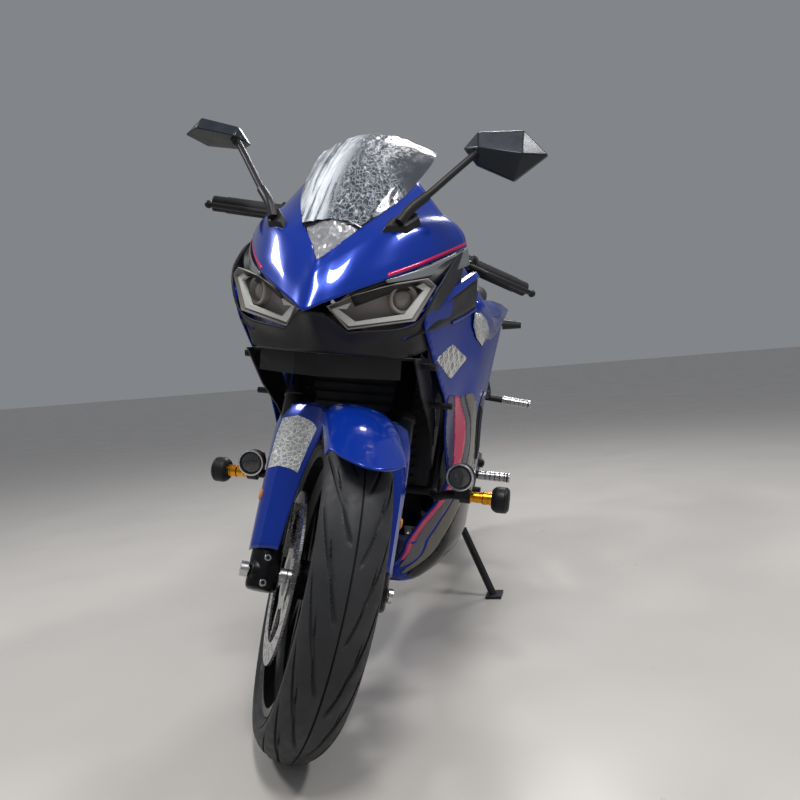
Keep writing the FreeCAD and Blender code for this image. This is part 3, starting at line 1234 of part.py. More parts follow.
def inner_cowl():
    """Black duct under the lamps with its splitter ribs, and the inner side walls."""
    shelf = flat_plate([(1436, 0), (1420, 46), (1366, 128), (1346, 152), (1296, 152), (1296, -152), (1346, -152),
                        (1366, -128), (1420, -46)], 686 - SEAT_GAP, 690 - SEAT_GAP)
    lip = [(1436, 0), (1420, 46), (1366, 128), (1352, 120), (1404, 42), (1416, 0)]
    lips = []
    for side in (-1, 1):
        lips.append(flat_plate([(x, side * y) for x, y in lip], 652, 687))
    walls = []
    for side in (-1, 1):
        walls.append(side_plate([(1372, 689), (1290, 622), (1204, 572), (1124, 512), (1120, 560), (1180, 630),
                                 (1250, 689)], side * 150, side * 153))
        for x, z in ((1196, 600), (1310, 676)):
            walls.append(rod(Vector(x, side * 152, z), Vector(x, side * 196, z), 6).cut(
                form_outside(side, SHELL + SEAT_GAP)))
    return fuse([shelf] + lips + walls)


def instrument_panel():
    """Instrument pod with a recessed face, on the cowl stay's post."""
    base = fork_frame().multVec(Vector(COWL_BAR_X, 0, 608 + SEAT_GAP))
    pod = side_plate([(-52, 0), (34, 0), (40, 26), (-30, 62), (-60, 40)], -74, 74)
    face = side_plate([(-62, 38), (-58, 44), (-30, 66), (-26, 60)], -62, 62)
    pod = pod.cut(face)
    pod.Placement = Placement(base, Rotation(Y_AXIS, -CASTER))
    return pod


def mirror(side):
    """Faceted mirror head with its glass recess, stalk and base pad."""
    pad = rod(Vector(1392, side * 100, 880), Vector(1392, side * 100, 926), 15).cut(nose_form(-SEAT_GAP))
    stalk = bent_rod([Vector(1392, side * 100, 922), Vector(1356, side * 126, 950),
                           Vector(1282, side * 236, 1052)], 6.5)
    front, back = [], []
    for y, z in MIRROR_OUTLINE:
        back.append(Vector(1262, side * y, z))
        front.append(Vector(1262 + MIRROR_DEPTH, side * (278 + (y - 278) * 0.72), 1060 + (z - 1060) * 0.7))
    shell_part = Part.makeLoft([Part.makePolygon(back + [back[0]]), Part.makePolygon(front + [front[0]])], True, True)
    if shell_part.Volume < 0:
        shell_part.reverse()
    glass = [Vector(1258, side * (278 + (y - 278) * 0.9), 1060 + (z - 1060) * 0.88) for y, z in MIRROR_OUTLINE]
    recess = polygon(glass).extrude(Vector(7, 0, 0))
    return fuse([largest(pad), stalk, shell_part]).cut(recess)


def indicator(side):
    """Flush diamond lens in the side panel, with its bulb housing behind."""
    cx = sum(x for x, z in INDICATOR_OUTLINE) / len(INDICATOR_OUTLINE)
    cz = sum(z for x, z in INDICATOR_OUTLINE) / len(INDICATOR_OUTLINE)
    points = []
    for x, z in INDICATOR_OUTLINE:
        share = 1 - 1.6 * SEAT_GAP / hypot(x - cx, z - cz) * 2
        points.append((cx + (x - cx) * share, cz + (z - cz) * share))
    prism = side_plate(points, side * 176, side * 320)
    return largest(prism.cut(form_outside(side, -1.5)))


def crash_bar():
    """Black cross tube behind the front wheel that carries both sliders, their pucks and the round fog lamps."""
    pieces = [rod(Vector(1085, -152, 412), Vector(1085, 152, 412), 9)]
    stay_x, stay_z = PANEL_STAYS[1]
    for side in (-1, 1):
        def at(x, y, z):
            return Vector(x, side * y, z)
        pieces.append(bent_rod([at(stay_x, 155, stay_z - 12), at(1046, 159, 540), at(1085, 152, 412),
                                     at(SLIDER_X, 196, SLIDER_Z), at(SLIDER_X, 232, SLIDER_Z)], 9))
        pieces.append(Part.makeSphere(9, at(1085, 152, 412)))
        pieces.append(rod(at(stay_x, 150, stay_z), at(stay_x, 160, stay_z), 15))
        pieces.append(rod(at(SLIDER_X, 214, SLIDER_Z), at(SLIDER_X, 232, SLIDER_Z), 14))
        pieces.append(rod(at(SLIDER_X, 230, SLIDER_Z), at(SLIDER_X, 252, SLIDER_Z), 10.5))
        pieces.append(rod(at(SLIDER_X, 250, SLIDER_Z), at(SLIDER_X, 270, SLIDER_Z), 12.5))
        pieces.append(cone(at(SLIDER_X, 268, SLIDER_Z), at(SLIDER_X, 276, SLIDER_Z), 23, 26))
        pieces.append(rod(at(SLIDER_X, 276, SLIDER_Z), at(SLIDER_X, 292, SLIDER_Z), 26))
        pieces.append(cone(at(SLIDER_X, 292, SLIDER_Z), at(SLIDER_X, 300, SLIDER_Z), 26, 21))
        pieces.append(box(1118, 1134, *sorted((side * 206, side * 230)), SLIDER_Z, 452))
        lamp = rod(at(1124, 219, 462), at(1166, 215, 461), 24)
        rim = rod(at(1156, 216, 461), at(1168, 215, 461), 27)
        bowl = rod(at(1160, 216, 461), at(1172, 215, 461), 23)
        pieces.append(fuse([lamp, rim]).cut(bowl))
    whole = fuse(pieces)
    for side in (-1, 1):
        whole = whole.cut(rod(Vector(stay_x, side * 140, stay_z), Vector(stay_x, side * 170, stay_z),
                              9 + RUNNING_GAP))
    return whole


# Assembly

def steering_pieces():
    pieces = {
        "fork_yokes": fuse([lower_yoke(), upper_yoke()]),
        "front_axle": front_axle(),
        "front_mudguard": front_mudguard(),
        "front_caliper": front_caliper(),
    }
    for name, side in (("left", 1), ("right", -1)):
        pieces["fork_leg_" + name] = fork_leg(side)
        bar = [clip_on(side), lever(side)]
        if side < 0:
            bar.append(brake_master())
        pieces["handlebar_" + name] = fuse(bar)
        pieces["grip_" + name] = grip(side)
    return pieces


def front_wheel_pieces():
    return {"front_tyre": front_tyre(), "front_rim": front_wheel_rim(), "front_disc": front_brake_disc()}


def rear_wheel_pieces():
    return {"rear_tyre": rear_tyre(), "rear_rim": rear_wheel_rim(), "rear_disc": rear_brake_disc(),
            "rear_sprocket": rear_sprocket()}


def body_pieces():
    pieces = {
        "frame": main_frame(), "engine": engine(), "exhaust_pipe": exhaust_pipe(), "silencer": silencer(),
        "radiator": radiator(), "swing_arm": swing_arm(), "shock": shock(), "chain": chain(),
        "rear_caliper": rear_caliper(), "fuel_tank": fuel_tank(), "fuel_cap": fuel_cap(),
        "rider_seat": rider_seat(), "passenger_seat": passenger_seat(), "tail_cowl": tail_cowl(),
        "tail_light": tail_light(), "rear_mudguard": rear_mudguard(), "nose_cowl": nose_cowl(),
        "windscreen": windscreen(), "belly_pan": belly_pan(), "inner_cowl": inner_cowl(),
        "instrument_panel": instrument_panel(), "side_stand": side_stand(), "crash_bar": crash_bar(),
    }
    for name, side in (("left", 1), ("right", -1)):
        pieces["headlight_" + name] = headlight(side)
        pieces["side_fairing_" + name] = side_fairing(side)
        pieces["mirror_" + name] = mirror(side)
        pieces["indicator_" + name] = indicator(side)
        pieces["footrest_" + name] = footrests(side)
        pieces["passenger_peg_" + name] = passenger_footrests(side)
    return pieces


def placements():
    """Place of each group of pieces on the parked bike, before it is centred."""
    steered = PARKED.multiply(fork_frame()).multiply(steering_turn(STEERING_STOP))
    rear = PARKED.multiply(Placement(Vector(0, 0, REAR_TYRE_RADIUS), Rotation()))
    return {"body": PARKED, "steering": steered, "front_wheel": steered, "rear_wheel": rear}


def placed_pieces():
    groups = {"body": body_pieces(), "steering": steering_pieces(), "front_wheel": front_wheel_pieces(),
              "rear_wheel": rear_wheel_pieces()}
    places = placements()
    pieces = {}
    for group, shapes in groups.items():
        for name, shape in shapes.items():
            moved = shape.copy()
            moved.Placement = places[group].multiply(moved.Placement)
            pieces[name] = moved
    return pieces


def centre_shift(pieces):
    """Shift that puts the middle of the outer box's floor at the origin."""
    boxes = [shape.optimalBoundingBox(True, False) for shape in pieces.values()]
    x0, x1 = min(b.XMin for b in boxes), max(b.XMax for b in boxes)
    y0, y1 = min(b.YMin for b in boxes), max(b.YMax for b in boxes)
    z0 = min(b.ZMin for b in boxes)
    return Vector(-(x0 + x1) / 2, -(y0 + y1) / 2, -z0)


def main():
    pieces = placed_pieces()
    shift = centre_shift(pieces)
    os.makedirs("parts", exist_ok=True)
    for name, shape in pieces.items():
        shape.translate(shift)
        shape.exportStep("parts/" + name + ".step")


if __name__ == "__main__":
    main()
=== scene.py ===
import json
import math

import bmesh
import bpy
from mathutils import Matrix, Vector, noise


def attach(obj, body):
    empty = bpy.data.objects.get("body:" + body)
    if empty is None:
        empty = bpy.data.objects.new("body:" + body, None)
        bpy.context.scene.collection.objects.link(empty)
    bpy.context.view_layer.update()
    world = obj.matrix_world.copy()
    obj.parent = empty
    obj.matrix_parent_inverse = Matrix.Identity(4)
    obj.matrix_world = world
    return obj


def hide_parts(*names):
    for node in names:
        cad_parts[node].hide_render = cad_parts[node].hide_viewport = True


# A faired sport bike, parked on its side stand.
# Pieces are drawn in millimetres in the bike's own upright frame (+X forward, +Y to the rider's left,
# +Z up, rear axle above x = 0) or in the fork's frame (origin at the front axle, +Z up the legs),
# and then laid into the parked bike.

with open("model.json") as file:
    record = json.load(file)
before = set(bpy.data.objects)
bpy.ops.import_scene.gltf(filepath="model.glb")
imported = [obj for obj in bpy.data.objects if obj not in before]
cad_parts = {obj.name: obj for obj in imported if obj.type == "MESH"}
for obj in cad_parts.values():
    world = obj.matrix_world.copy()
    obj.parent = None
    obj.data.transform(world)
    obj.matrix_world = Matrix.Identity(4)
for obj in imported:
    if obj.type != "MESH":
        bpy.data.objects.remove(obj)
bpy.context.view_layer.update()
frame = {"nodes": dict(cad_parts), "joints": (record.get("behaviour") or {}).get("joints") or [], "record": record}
JOINTS = {joint["name"]: joint for joint in frame["joints"]}
NODES = frame["nodes"]

# Driving sizes that the frame doesn't say, in millimetres and degrees
REAR_TYRE_RADIUS = 314.0
FRONT_TYRE_RADIUS = 293.0
STAND_BOLT_TILT = 23.5

# Camera of the photograph, in metres in the row frame
CAMERA_PLACE = Vector((2.112, 0.403, 0.6525))
CAMERA_AIM = Vector((-0.97475, -0.21847, -0.04613))
CAMERA_RIGHT = Vector((-0.21419, 0.97324, -0.08317))
FOCAL_PIXELS = 830.08
PICTURE_SIDE = 800.0


# Frames of the parked bike

def joint_axis(name):
    return Vector(JOINTS[name]["axis"]).normalized()


def joint_place(name):
    return Vector(JOINTS[name]["pos_m"])


def frame_matrix(x_axis, y_axis, z_axis, origin):
    """From millimetres in a frame to metres in the row frame."""
    columns = Matrix((x_axis, y_axis, z_axis)).transposed().to_4x4()
    return Matrix.Translation(origin) @ columns @ Matrix.Scale(0.001, 4)


def bike_frame():
    """The upright bike's frame: Y is the rear axle, and the stand's bolt tilts from it by a known angle."""
    tilt = math.radians(STAND_BOLT_TILT)
    y_axis = joint_axis("rear_wheel_spin")
    z_axis = joint_axis("side_stand_fold") - y_axis * math.cos(tilt)
    z_axis = (z_axis - y_axis * z_axis.dot(y_axis)).normalized()
    origin = joint_place("rear_wheel_spin") - z_axis * REAR_TYRE_RADIUS * 0.001
    return frame_matrix(y_axis.cross(z_axis), y_axis, z_axis, origin)


def fork_frame():
    y_axis = joint_axis("front_wheel_spin")
    z_axis = joint_axis("steering_turn")
    return frame_matrix(y_axis.cross(z_axis), y_axis, z_axis, joint_place("front_wheel_spin"))


BIKE = bike_frame()
FORK = fork_frame()
REAR = BIKE @ Matrix.Translation((0, 0, REAR_TYRE_RADIUS))
SIDES = ((1, "left"), (-1, "right"))
# where a piece is drawn and what it moves with
ON_FRAME = (BIKE, "frame")
ON_FORK = (FORK, "steering")
LOOK = {}


# Tools for materials

class Finish:
    """One procedural material: a Principled shader and the nodes that feed it."""

    def __init__(self, name, color, roughness=0.5, **sockets):
        self.material = bpy.data.materials.new(name)
        self.material.use_nodes = True
        self.tree = self.material.node_tree
        self.shader = self.tree.nodes["Principled BSDF"]
        self.shader.inputs["Base Color"].default_value = (*color, 1)
        self.shader.inputs["Roughness"].default_value = roughness
        for socket, value in sockets.items():
            self.shader.inputs[socket.replace("_", " ")].default_value = value
        self.coordinate = self.add("ShaderNodeTexCoord").outputs["Object"]

    def add(self, kind, inputs=None, **settings):
        node = self.tree.nodes.new(kind)
        for name, value in settings.items():
            setattr(node, name, value)
        for name, value in (inputs or {}).items():
            if isinstance(value, bpy.types.NodeSocket):
                self.tree.links.new(value, node.inputs[name])
            else:
                node.inputs[name].default_value = value
        return node

    def math(self, operation, a, b=0.0):
        return self.add("ShaderNodeMath", {0: a, 1: b}, operation=operation).outputs[0]

    def local(self, place):
        """Texture coordinates in millimetres in the given frame."""
        turn = place.to_3x3().normalized().to_euler("XYZ")
        node = self.add("ShaderNodeMapping", {"Vector": self.coordinate, "Location": place.translation,
                                              "Rotation": turn, "Scale": (0.001, 0.001, 0.001)},
                        vector_type="TEXTURE")
        return node.outputs[0]

    def split(self, vector):
        return self.add("ShaderNodeSeparateXYZ", {0: vector}).outputs

    def scaled(self, vector, factors):
        return self.add("ShaderNodeMapping", {"Vector": vector, "Scale": factors}).outputs[0]

    def noise(self, scale, detail=3.0, roughness=0.5, vector=None, distortion=0.0):
        """Noise from 0 to 1; the scale is in features for each metre of the object."""
        node = self.add("ShaderNodeTexNoise", {"Vector": vector or self.coordinate, "Scale": scale,
                                               "Detail": detail, "Roughness": roughness,
                                               "Distortion": distortion})
        return node.outputs["Fac"]

    def cells(self, scale, vector=None, feature="F1"):
        inputs = {"Vector": vector or self.coordinate, "Scale": scale}
        return self.add("ShaderNodeTexVoronoi", inputs, feature=feature).outputs["Distance"]

    def ramp(self, value, low, high, out_low=0.0, out_high=1.0):
        node = self.add("ShaderNodeMapRange", {"Value": value, "From Min": low, "From Max": high,
                                               "To Min": out_low, "To Max": out_high}, clamp=True)
        return node.outputs[0]

    def mix(self, factor, a, b):
        """Colour a where the factor is 0 and b where it is 1."""
        node = self.add("ShaderNodeMix", {"Factor": factor}, data_type="RGBA")
        for socket, value in ((node.inputs[6], a), (node.inputs[7], b)):
            if isinstance(value, bpy.types.NodeSocket):
                self.tree.links.new(value, socket)
            else:
                socket.default_value = (*value, 1)
        return node.outputs[2]

    def color(self, socket):
        self.tree.links.new(socket, self.shader.inputs["Base Color"])

    def gloss(self, value, low, high, start=0.3):
        """Roughness from low to high where the value goes from the start to 0.7."""
        socket = self.ramp(value, start, 0.7, low, high)
        self.tree.links.new(socket, self.shader.inputs["Roughness"])

    def bump(self, height, distance, strength=1.0):
        """Bump from a height between 0 and 1 that stands for the distance in metres."""
        before = self.shader.inputs["Normal"]
        inputs = {"Height": height, "Distance": distance, "Strength": strength}
        if before.is_linked:
            inputs["Normal"] = before.links[0].from_socket
        node = self.add("ShaderNodeBump", inputs)
        self.tree.links.new(node.outputs[0], before)


# Materials

def worn_plastic(name, color, roughness, grain=900.0, grain_depth=0.00012, dust=0.12):
    """Moulded plastic with a fine grain, uneven gloss and a little dust in patches."""
    f = Finish(name, color, roughness, Specular_IOR_Level=0.25)
    cloud = f.noise(9.0, 4.0)
    pale = tuple(min(1.0, c * 1.5 + 0.012) for c in color)
    f.color(f.mix(f.ramp(cloud, 0.35, 0.8, 0.0, dust * 4), color, pale))
    f.gloss(f.noise(26.0, 5.0), roughness * 0.8, min(1.0, roughness * 1.2))
    f.bump(f.noise(grain, 2.0), grain_depth, 0.5)
    return f.material


def metal(name, color, roughness, streak=(40.0, 40.0, 600.0)):
    """Machined metal with fine streaks and dull patches."""
    f = Finish(name, color, roughness, Metallic=1.0)
    streaks = f.noise(1.0, 3.0, vector=f.scaled(f.coordinate, streak))
    dull = f.noise(14.0, 4.0)
    dark = tuple(c * 0.72 for c in color)
    f.color(f.mix(f.ramp(dull, 0.35, 0.75), color, dark))
    f.gloss(streaks, roughness * 0.75, min(1.0, roughness * 1.3))
    f.bump(streaks, 0.00006, 0.4)
    return f.material


def cast_metal(name, color, roughness, metallic=0.8):
    """Sand-cast metal, some of it painted: a rough skin with darker patches."""
    f = Finish(name, color, roughness, Metallic=metallic, Specular_IOR_Level=0.25)
    skin = f.noise(1400.0, 3.0)
    f.color(f.mix(f.ramp(f.noise(20.0, 5.0), 0.3, 0.75), color, tuple(c * 0.6 for c in color)))
    f.gloss(skin, roughness * 0.85, min(1.0, roughness * 1.15))
    f.bump(skin, 0.00025, 0.5)
    return f.material


BLUE = (0.002, 0.026, 0.27)
NAVY = (0.006, 0.012, 0.085)
MAGENTA = (0.50, 0.013, 0.085)
# the silver and cream stripe colours are darker than the stripes' own colours: partly their colour, partly painted
# shade
SILVER_WITH_SHADE = (0.11, 0.11, 0.125)
CREAM_WITH_SHADE = (0.15, 0.14, 0.125)


def paint_material(name="blue_gloss", color=BLUE, coat=0.55):
    """Clear-coated paint with a fine metallic flake and a slight orange peel."""
    roughness = 0.22
    f = Finish(name, color, roughness, Metallic=0.25, Coat_Weight=coat, Coat_Roughness=0.03,
               Specular_IOR_Level=0.3 * coat)
    flake = f.cells(5200.0)
    light = tuple(min(1.0, c * 1.3 + 0.002) for c in color)
    f.color(f.mix(f.ramp(flake, 0.1, 0.5, 0.5, 0.0), color, light))
    f.gloss(f.noise(7.0, 3.0), roughness * 0.85, roughness * 1.15)
    f.bump(f.noise(160.0, 1.0), 0.00012, 0.25)
    return f.material


def tyre_material():
    """Dark tyre rubber with pale patches, uneven gloss and a fine grain."""
    f = Finish("tyre_black", (0.022, 0.023, 0.025), 0.55, Specular_IOR_Level=0.25)
    f.color(f.mix(f.ramp(f.noise(12.0, 5.0), 0.3, 0.75), (0.018, 0.019, 0.021), (0.036, 0.036, 0.038)))
    f.gloss(f.noise(60.0, 4.0), 0.46, 0.66)
    f.bump(f.noise(1500.0, 3.0), 0.0002, 0.4)
    return f.material


def smoked_material():
    """Dark see-through sheet with a slightly wavy gloss."""
    f = Finish("smoked_screen", (0.015, 0.017, 0.02), 0.06, Transmission_Weight=0.55, IOR=1.45,
               Coat_Weight=1.0, Coat_Roughness=0.02)
    f.bump(f.noise(30.0, 2.0), 0.0003, 0.15)
    return f.material


def lens_material(name, color, roughness=0.05, transmission=0.85):
    f = Finish(name, color, roughness, Transmission_Weight=transmission, IOR=1.45, Coat_Weight=0.6)
    f.bump(f.noise(90.0, 1.0), 0.0002, 0.2)
    return f.material


def film_material(name, base, dark, lines, line_scale):
    """Crumpled clear film: pale painted highlights along its creases, over a darker colour for what lies under it.
    """
    f = Finish(name, base, 0.14, Coat_Weight=1.0, Coat_Roughness=0.05)
    folds = f.cells(line_scale, feature="DISTANCE_TO_EDGE")
    fine = f.noise(line_scale * 1.6, 6.0, 0.65, distortion=1.2)
    # crease masks the painted highlights along the folds and wrinkles: dark between them, the pale base colour
    # where they catch the light
    crease = f.math("MAXIMUM", f.ramp(folds, 0.0, 0.09, lines, 0.0),
                    f.ramp(fine, 0.52, 0.75, 0.0, lines * 0.9))
    f.color(f.mix(crease, dark, base))
    f.gloss(fine, 0.08, 0.32, 0.35)
    f.bump(folds, 0.004, 0.55)
    f.bump(fine, 0.003, 0.6)
    return f.material


def screen_film_material():
    """Film over the dark screen: broad white streaks of painted highlight on the rider's right, and fine creases
    with painted highlights elsewhere.
    """
    f = Finish("screen_film_creased", (0.7, 0.74, 0.8), 0.1, Coat_Weight=1.0, Coat_Roughness=0.04)
    here = f.local(BIKE)
    x, y, _ = f.split(here)
    streaks = f.noise(1.0, 4.0, 0.6, vector=f.scaled(here, (0.006, 0.075, 0.006)), distortion=0.7)
    fine = f.noise(1.0, 7.0, 0.72, vector=f.scaled(here, (0.06, 0.09, 0.06)), distortion=2.2)
    folds = f.cells(1.0, f.scaled(here, (0.07, 0.12, 0.07)), "DISTANCE_TO_EDGE")
    right = f.ramp(y, 2, -38)
    broad_highlight = f.math("MULTIPLY", f.ramp(streaks, 0.36, 0.52), right)
    crinkle_highlight = f.math("MAXIMUM", f.ramp(fine, 0.47, 0.64, 0.0, 1.0), f.ramp(folds, 0.0, 0.09, 0.8, 0.0))
    corner = f.math("MULTIPLY", f.ramp(y, 50, 64), f.ramp(x, 1290, 1255))
    bare = f.math("SUBTRACT", 1.0, f.math("MULTIPLY", corner, 0.9))
    # pale is the mask of the painted highlights, the white streaks and creases, left off the bare corner
    pale = f.math("MULTIPLY", f.math("MAXIMUM", broad_highlight, f.math("MULTIPLY", crinkle_highlight, 0.5)), bare)
    f.color(f.mix(pale, (0.03, 0.042, 0.07), (0.80, 0.85, 0.90)))
    f.tree.links.new(f.ramp(pale, 0.0, 0.5, 0.35, 0.98), f.shader.inputs["Alpha"])
    f.gloss(fine, 0.06, 0.3)
    f.bump(fine, 0.003, 0.7)
    f.bump(folds, 0.003, 0.4)
    return f.material


def smoky_lens_material():
    """Thin tinted lens: what lies behind it shows through, under a hard gloss."""
    f = Finish("smoky_lamp_lens", (0.045, 0.042, 0.04), 0.05, Coat_Weight=1.0, Coat_Roughness=0.02)
    f.tree.links.new(f.ramp(f.noise(18.0, 2.0), 0.3, 0.7, 0.10, 0.16), f.shader.inputs["Alpha"])
    f.bump(f.noise(40.0, 1.0), 0.0002, 0.2)
    return f.material


def cell_lens_material():
    """Clear lens over rows of small bright reflector cells."""
    f = Finish("cell_lens", (0.62, 0.62, 0.60), 0.12, Metallic=0.35, Coat_Weight=1.0, Coat_Roughness=0.03)
    here = f.local(BIKE)
    x, _, z = f.split(here)
    cells_each_mm = 0.034
    across = f.math("FRACT", f.math("MULTIPLY", f.math("ADD", x, z), cells_each_mm))
    up = f.math("FRACT", f.math("MULTIPLY", f.math("SUBTRACT", x, z), cells_each_mm))
    edge = f.math("MINIMUM", f.math("MINIMUM", across, f.math("SUBTRACT", 1.0, across)),
                  f.math("MINIMUM", up, f.math("SUBTRACT", 1.0, up)))
    patch = f.noise(55.0, 3.0, 0.6)
    shade = f.mix(f.ramp(patch, 0.4, 0.6), (0.10, 0.095, 0.08), (0.62, 0.62, 0.60))
    f.color(f.mix(f.ramp(edge, 0.07, 0.12), (0.85, 0.85, 0.83), shade))
    f.bump(f.ramp(edge, 0.04, 0.3), 0.003, 0.8)
    return f.material


def gold_material():
    f = Finish("gold_anodised", (0.83, 0.38, 0.03), 0.24, Metallic=1.0)
    turns = f.noise(1.0, 2.0, vector=f.scaled(f.coordinate, (60, 2200, 60)))
    f.color(f.mix(f.ramp(f.noise(40.0, 3.0), 0.3, 0.7), (0.85, 0.40, 0.03), (0.66, 0.27, 0.015)))
    f.gloss(turns, 0.18, 0.34)
    f.bump(turns, 0.00008, 0.4)
    return f.material


def extra_finishes():
    """Finishes of drawn pieces that none of the solids has."""
    return {
        "magenta": paint_material("magenta_stripe", MAGENTA),
        "side_blue": paint_material("side_blue", BLUE, 0.18),
        # silver and cream stripes: their colours hold painted shade as well as the stripe colour
        "silver_paint_with_shade": paint_material("silver_stripe_with_shade", SILVER_WITH_SHADE, 0.2),
        "cream_paint_with_shade": paint_material("cream_stripe_with_shade", CREAM_WITH_SHADE, 0.2),
        "navy_paint": paint_material("navy_stripe", NAVY, 0.2),
        # near-black finish of the painted shade on the belly
        "painted_shade_finish": paint_material("painted_belly_shade", (0.014, 0.013, 0.013), 0.2),
        "crumpled_film": film_material("crumpled_film", (0.74, 0.74, 0.72), (0.33, 0.34, 0.34), 1.0, 115.0),
        "screen_film": screen_film_material(),
        "lamp_grey": worn_plastic("lamp_bucket_grey", (0.30, 0.275, 0.265), 0.35, 400.0, 0.0001, 0.02),
        "light_strip": worn_plastic("light_strip_pale", (0.72, 0.72, 0.69), 0.3, 300.0, 0.0001, 0.02),
        "lamp_ring": worn_plastic("projector_ring", (0.42, 0.38, 0.35), 0.3, 300.0, 0.0001, 0.02),
        "cell_lens": cell_lens_material(),
        "pale_strip": paint_material("pale_grey_gloss", (0.17, 0.18, 0.19)),
        "soft_film": film_material("soft_film", (0.40, 0.40, 0.40), (0.20, 0.20, 0.21), 0.4, 24.0),
        "mirror_shell": worn_plastic("mirror_shell_dark", (0.013, 0.017, 0.024), 0.3, 700.0, 0.0001, 0.03),
        "mirror_glass": metal("mirror_silvered", (0.7, 0.72, 0.75), 0.05, (3.0, 3.0, 3.0)),
        "projector": lens_material("projector_glass", (0.55, 0.52, 0.48), 0.05, 0.5),
        "smoky_lens": smoky_lens_material(),
        "amber_lens": lens_material("amber_reflector", (0.85, 0.30, 0.01), 0.12, 0.2),
        "gold": gold_material(),
        "bright_ring": metal("bright_lamp_ring", (0.86, 0.87, 0.88), 0.3),
        "fog_bowl": metal("fog_reflector", (0.12, 0.12, 0.13), 0.25),
        "fog_glass": lens_material("fog_lens", (0.35, 0.36, 0.38)),
    }


SLOT_FINISHES = {
    "frame_black": lambda: worn_plastic("frame_satin_black", (0.012, 0.012, 0.013), 0.38, 500.0, 0.0001),
    "engine_grey": lambda: cast_metal("engine_cast_grey", (0.045, 0.047, 0.05), 0.5),
    "steel": lambda: metal("bright_steel", (0.55, 0.55, 0.56), 0.26),
    "alloy": lambda: metal("machined_alloy", (0.62, 0.62, 0.63), 0.32),
    "black_alloy": lambda: cast_metal("black_alloy_gloss", (0.008, 0.008, 0.009), 0.28, 0.3),
    "blue_paint": paint_material,
    "black_plastic": lambda: worn_plastic("moulded_black", (0.011, 0.011, 0.012), 0.42),
    "seat_cover": lambda: worn_plastic("seat_vinyl", (0.016, 0.016, 0.017), 0.55, 1100.0, 0.0003),
    "tyre_rubber": tyre_material,
    "rubber": lambda: worn_plastic("rubber_soft", (0.012, 0.012, 0.013), 0.62, 700.0, 0.0002),
    "smoked_screen": smoked_material,
    "lamp_lens": lambda: lens_material("lamp_glass", (0.75, 0.76, 0.78)),
    "red_lens": lambda: lens_material("tail_lens_red", (0.55, 0.01, 0.012), 0.08, 0.35),
    "clear_lens": lambda: lens_material("indicator_glass", (0.85, 0.85, 0.85)),
    "chain_steel": lambda: metal("chain_steel", (0.32, 0.31, 0.29), 0.38),
}


def dress_frame():
    """Give each node of the solids the finish of its material slot."""
    LOOK.update({slot: make() for slot, make in SLOT_FINISHES.items()})
    for entry in frame["record"]["subparts"]:
        piece = NODES[entry["node"]]
        piece.data.materials.clear()
        piece.data.materials.append(LOOK[entry["material_slot"]])


# Drawing tools

def eased(a, b, start, end, t):
    """Point at t between a and b, on a curve that leaves a along start and reaches b along end."""
    return (a * (2 * t ** 3 - 3 * t ** 2 + 1) + start * (t ** 3 - 2 * t ** 2 + t)
            + b * (3 * t ** 2 - 2 * t ** 3) + end * (t ** 3 - t ** 2))


def smooth_line(points, steps, sharp=()):
    """Finer line through the points; it may turn at once where a point is sharp."""
    points = [Vector(p) for p in points]
    last = len(points) - 1
    line = []
    for k in range(last):
        a, b = points[k], points[k + 1]
        span = max((b - a).length, 1e-6)
        start, end = b - a, b - a
        if k > 0 and k not in sharp:
            before = points[k - 1]
            start = (b - before) * (span / (span + (a - before).length))
        if k + 1 < last and k + 1 not in sharp:
            after = points[k + 2]
            end = (after - a) * (span / (span + (after - b).length))
        line += [eased(a, b, start, end, step / steps) for step in range(steps)]
    line.append(points[-1])
    return line


def smooth_grid(rows, steps, sharp_rows=(), sharp_columns=()):
    """Finer rows of points through a few drawn ones."""
    wide = [smooth_line(row, steps, sharp_columns) for row in rows]
    columns = [smooth_line(column, steps, sharp_rows) for column in zip(*wide)]
    return [list(row) for row in zip(*columns)]


def both_halves(rows):
    """Rows from the middle outwards, completed with their mirror image."""
    return [[(x, -y, z) for x, y, z in reversed(row[1:])] + list(row) for row in rows]


def on_side(points, side):
    """Points of the left side, or their mirror image for the right one."""
    return [Vector((x, y * side, z)) for x, y, z in points]


def flipped(rows, side):
    return [on_side(row, side) for row in rows]


def add_piece(name, points, faces, finish, angle=30.0, on=ON_FRAME):
    """Mesh piece from points in millimetres in a local frame; edges over the angle in degrees are sharp."""
    place, body = on
    mesh = bpy.data.meshes.new(name)
    mesh.from_pydata([place @ Vector(p) for p in points], [], faces)
    shape = bmesh.new()
    shape.from_mesh(mesh)
    bmesh.ops.remove_doubles(shape, verts=shape.verts, dist=0.00002)
    bmesh.ops.dissolve_degenerate(shape, edges=shape.edges, dist=0.00001)
    shape.to_mesh(mesh)
    shape.free()
    mesh.materials.append(LOOK[finish])
    mesh.shade_smooth()
    mesh.set_sharp_from_angle(angle=math.radians(angle))
    piece = bpy.data.objects.new(name, mesh)
    bpy.context.scene.collection.objects.link(piece)
    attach(piece, body)
    return piece


def face_out(piece, core):
    """Turn the faces of a sheet so that most of them look away from the core point."""
    mesh = piece.data
    mesh.update()
    lean = sum((face.center - core).dot(face.normal) * face.area for face in mesh.polygons)
    if lean < 0:
        mesh.flip_normals()


def give_wall(piece, wall):
    """Wall in millimetres, laid behind the faces."""
    solid = piece.modifiers.new("wall", "SOLIDIFY")
    solid.thickness = wall * 0.001
    solid.offset = -1.0
    solid.use_even_offset = False


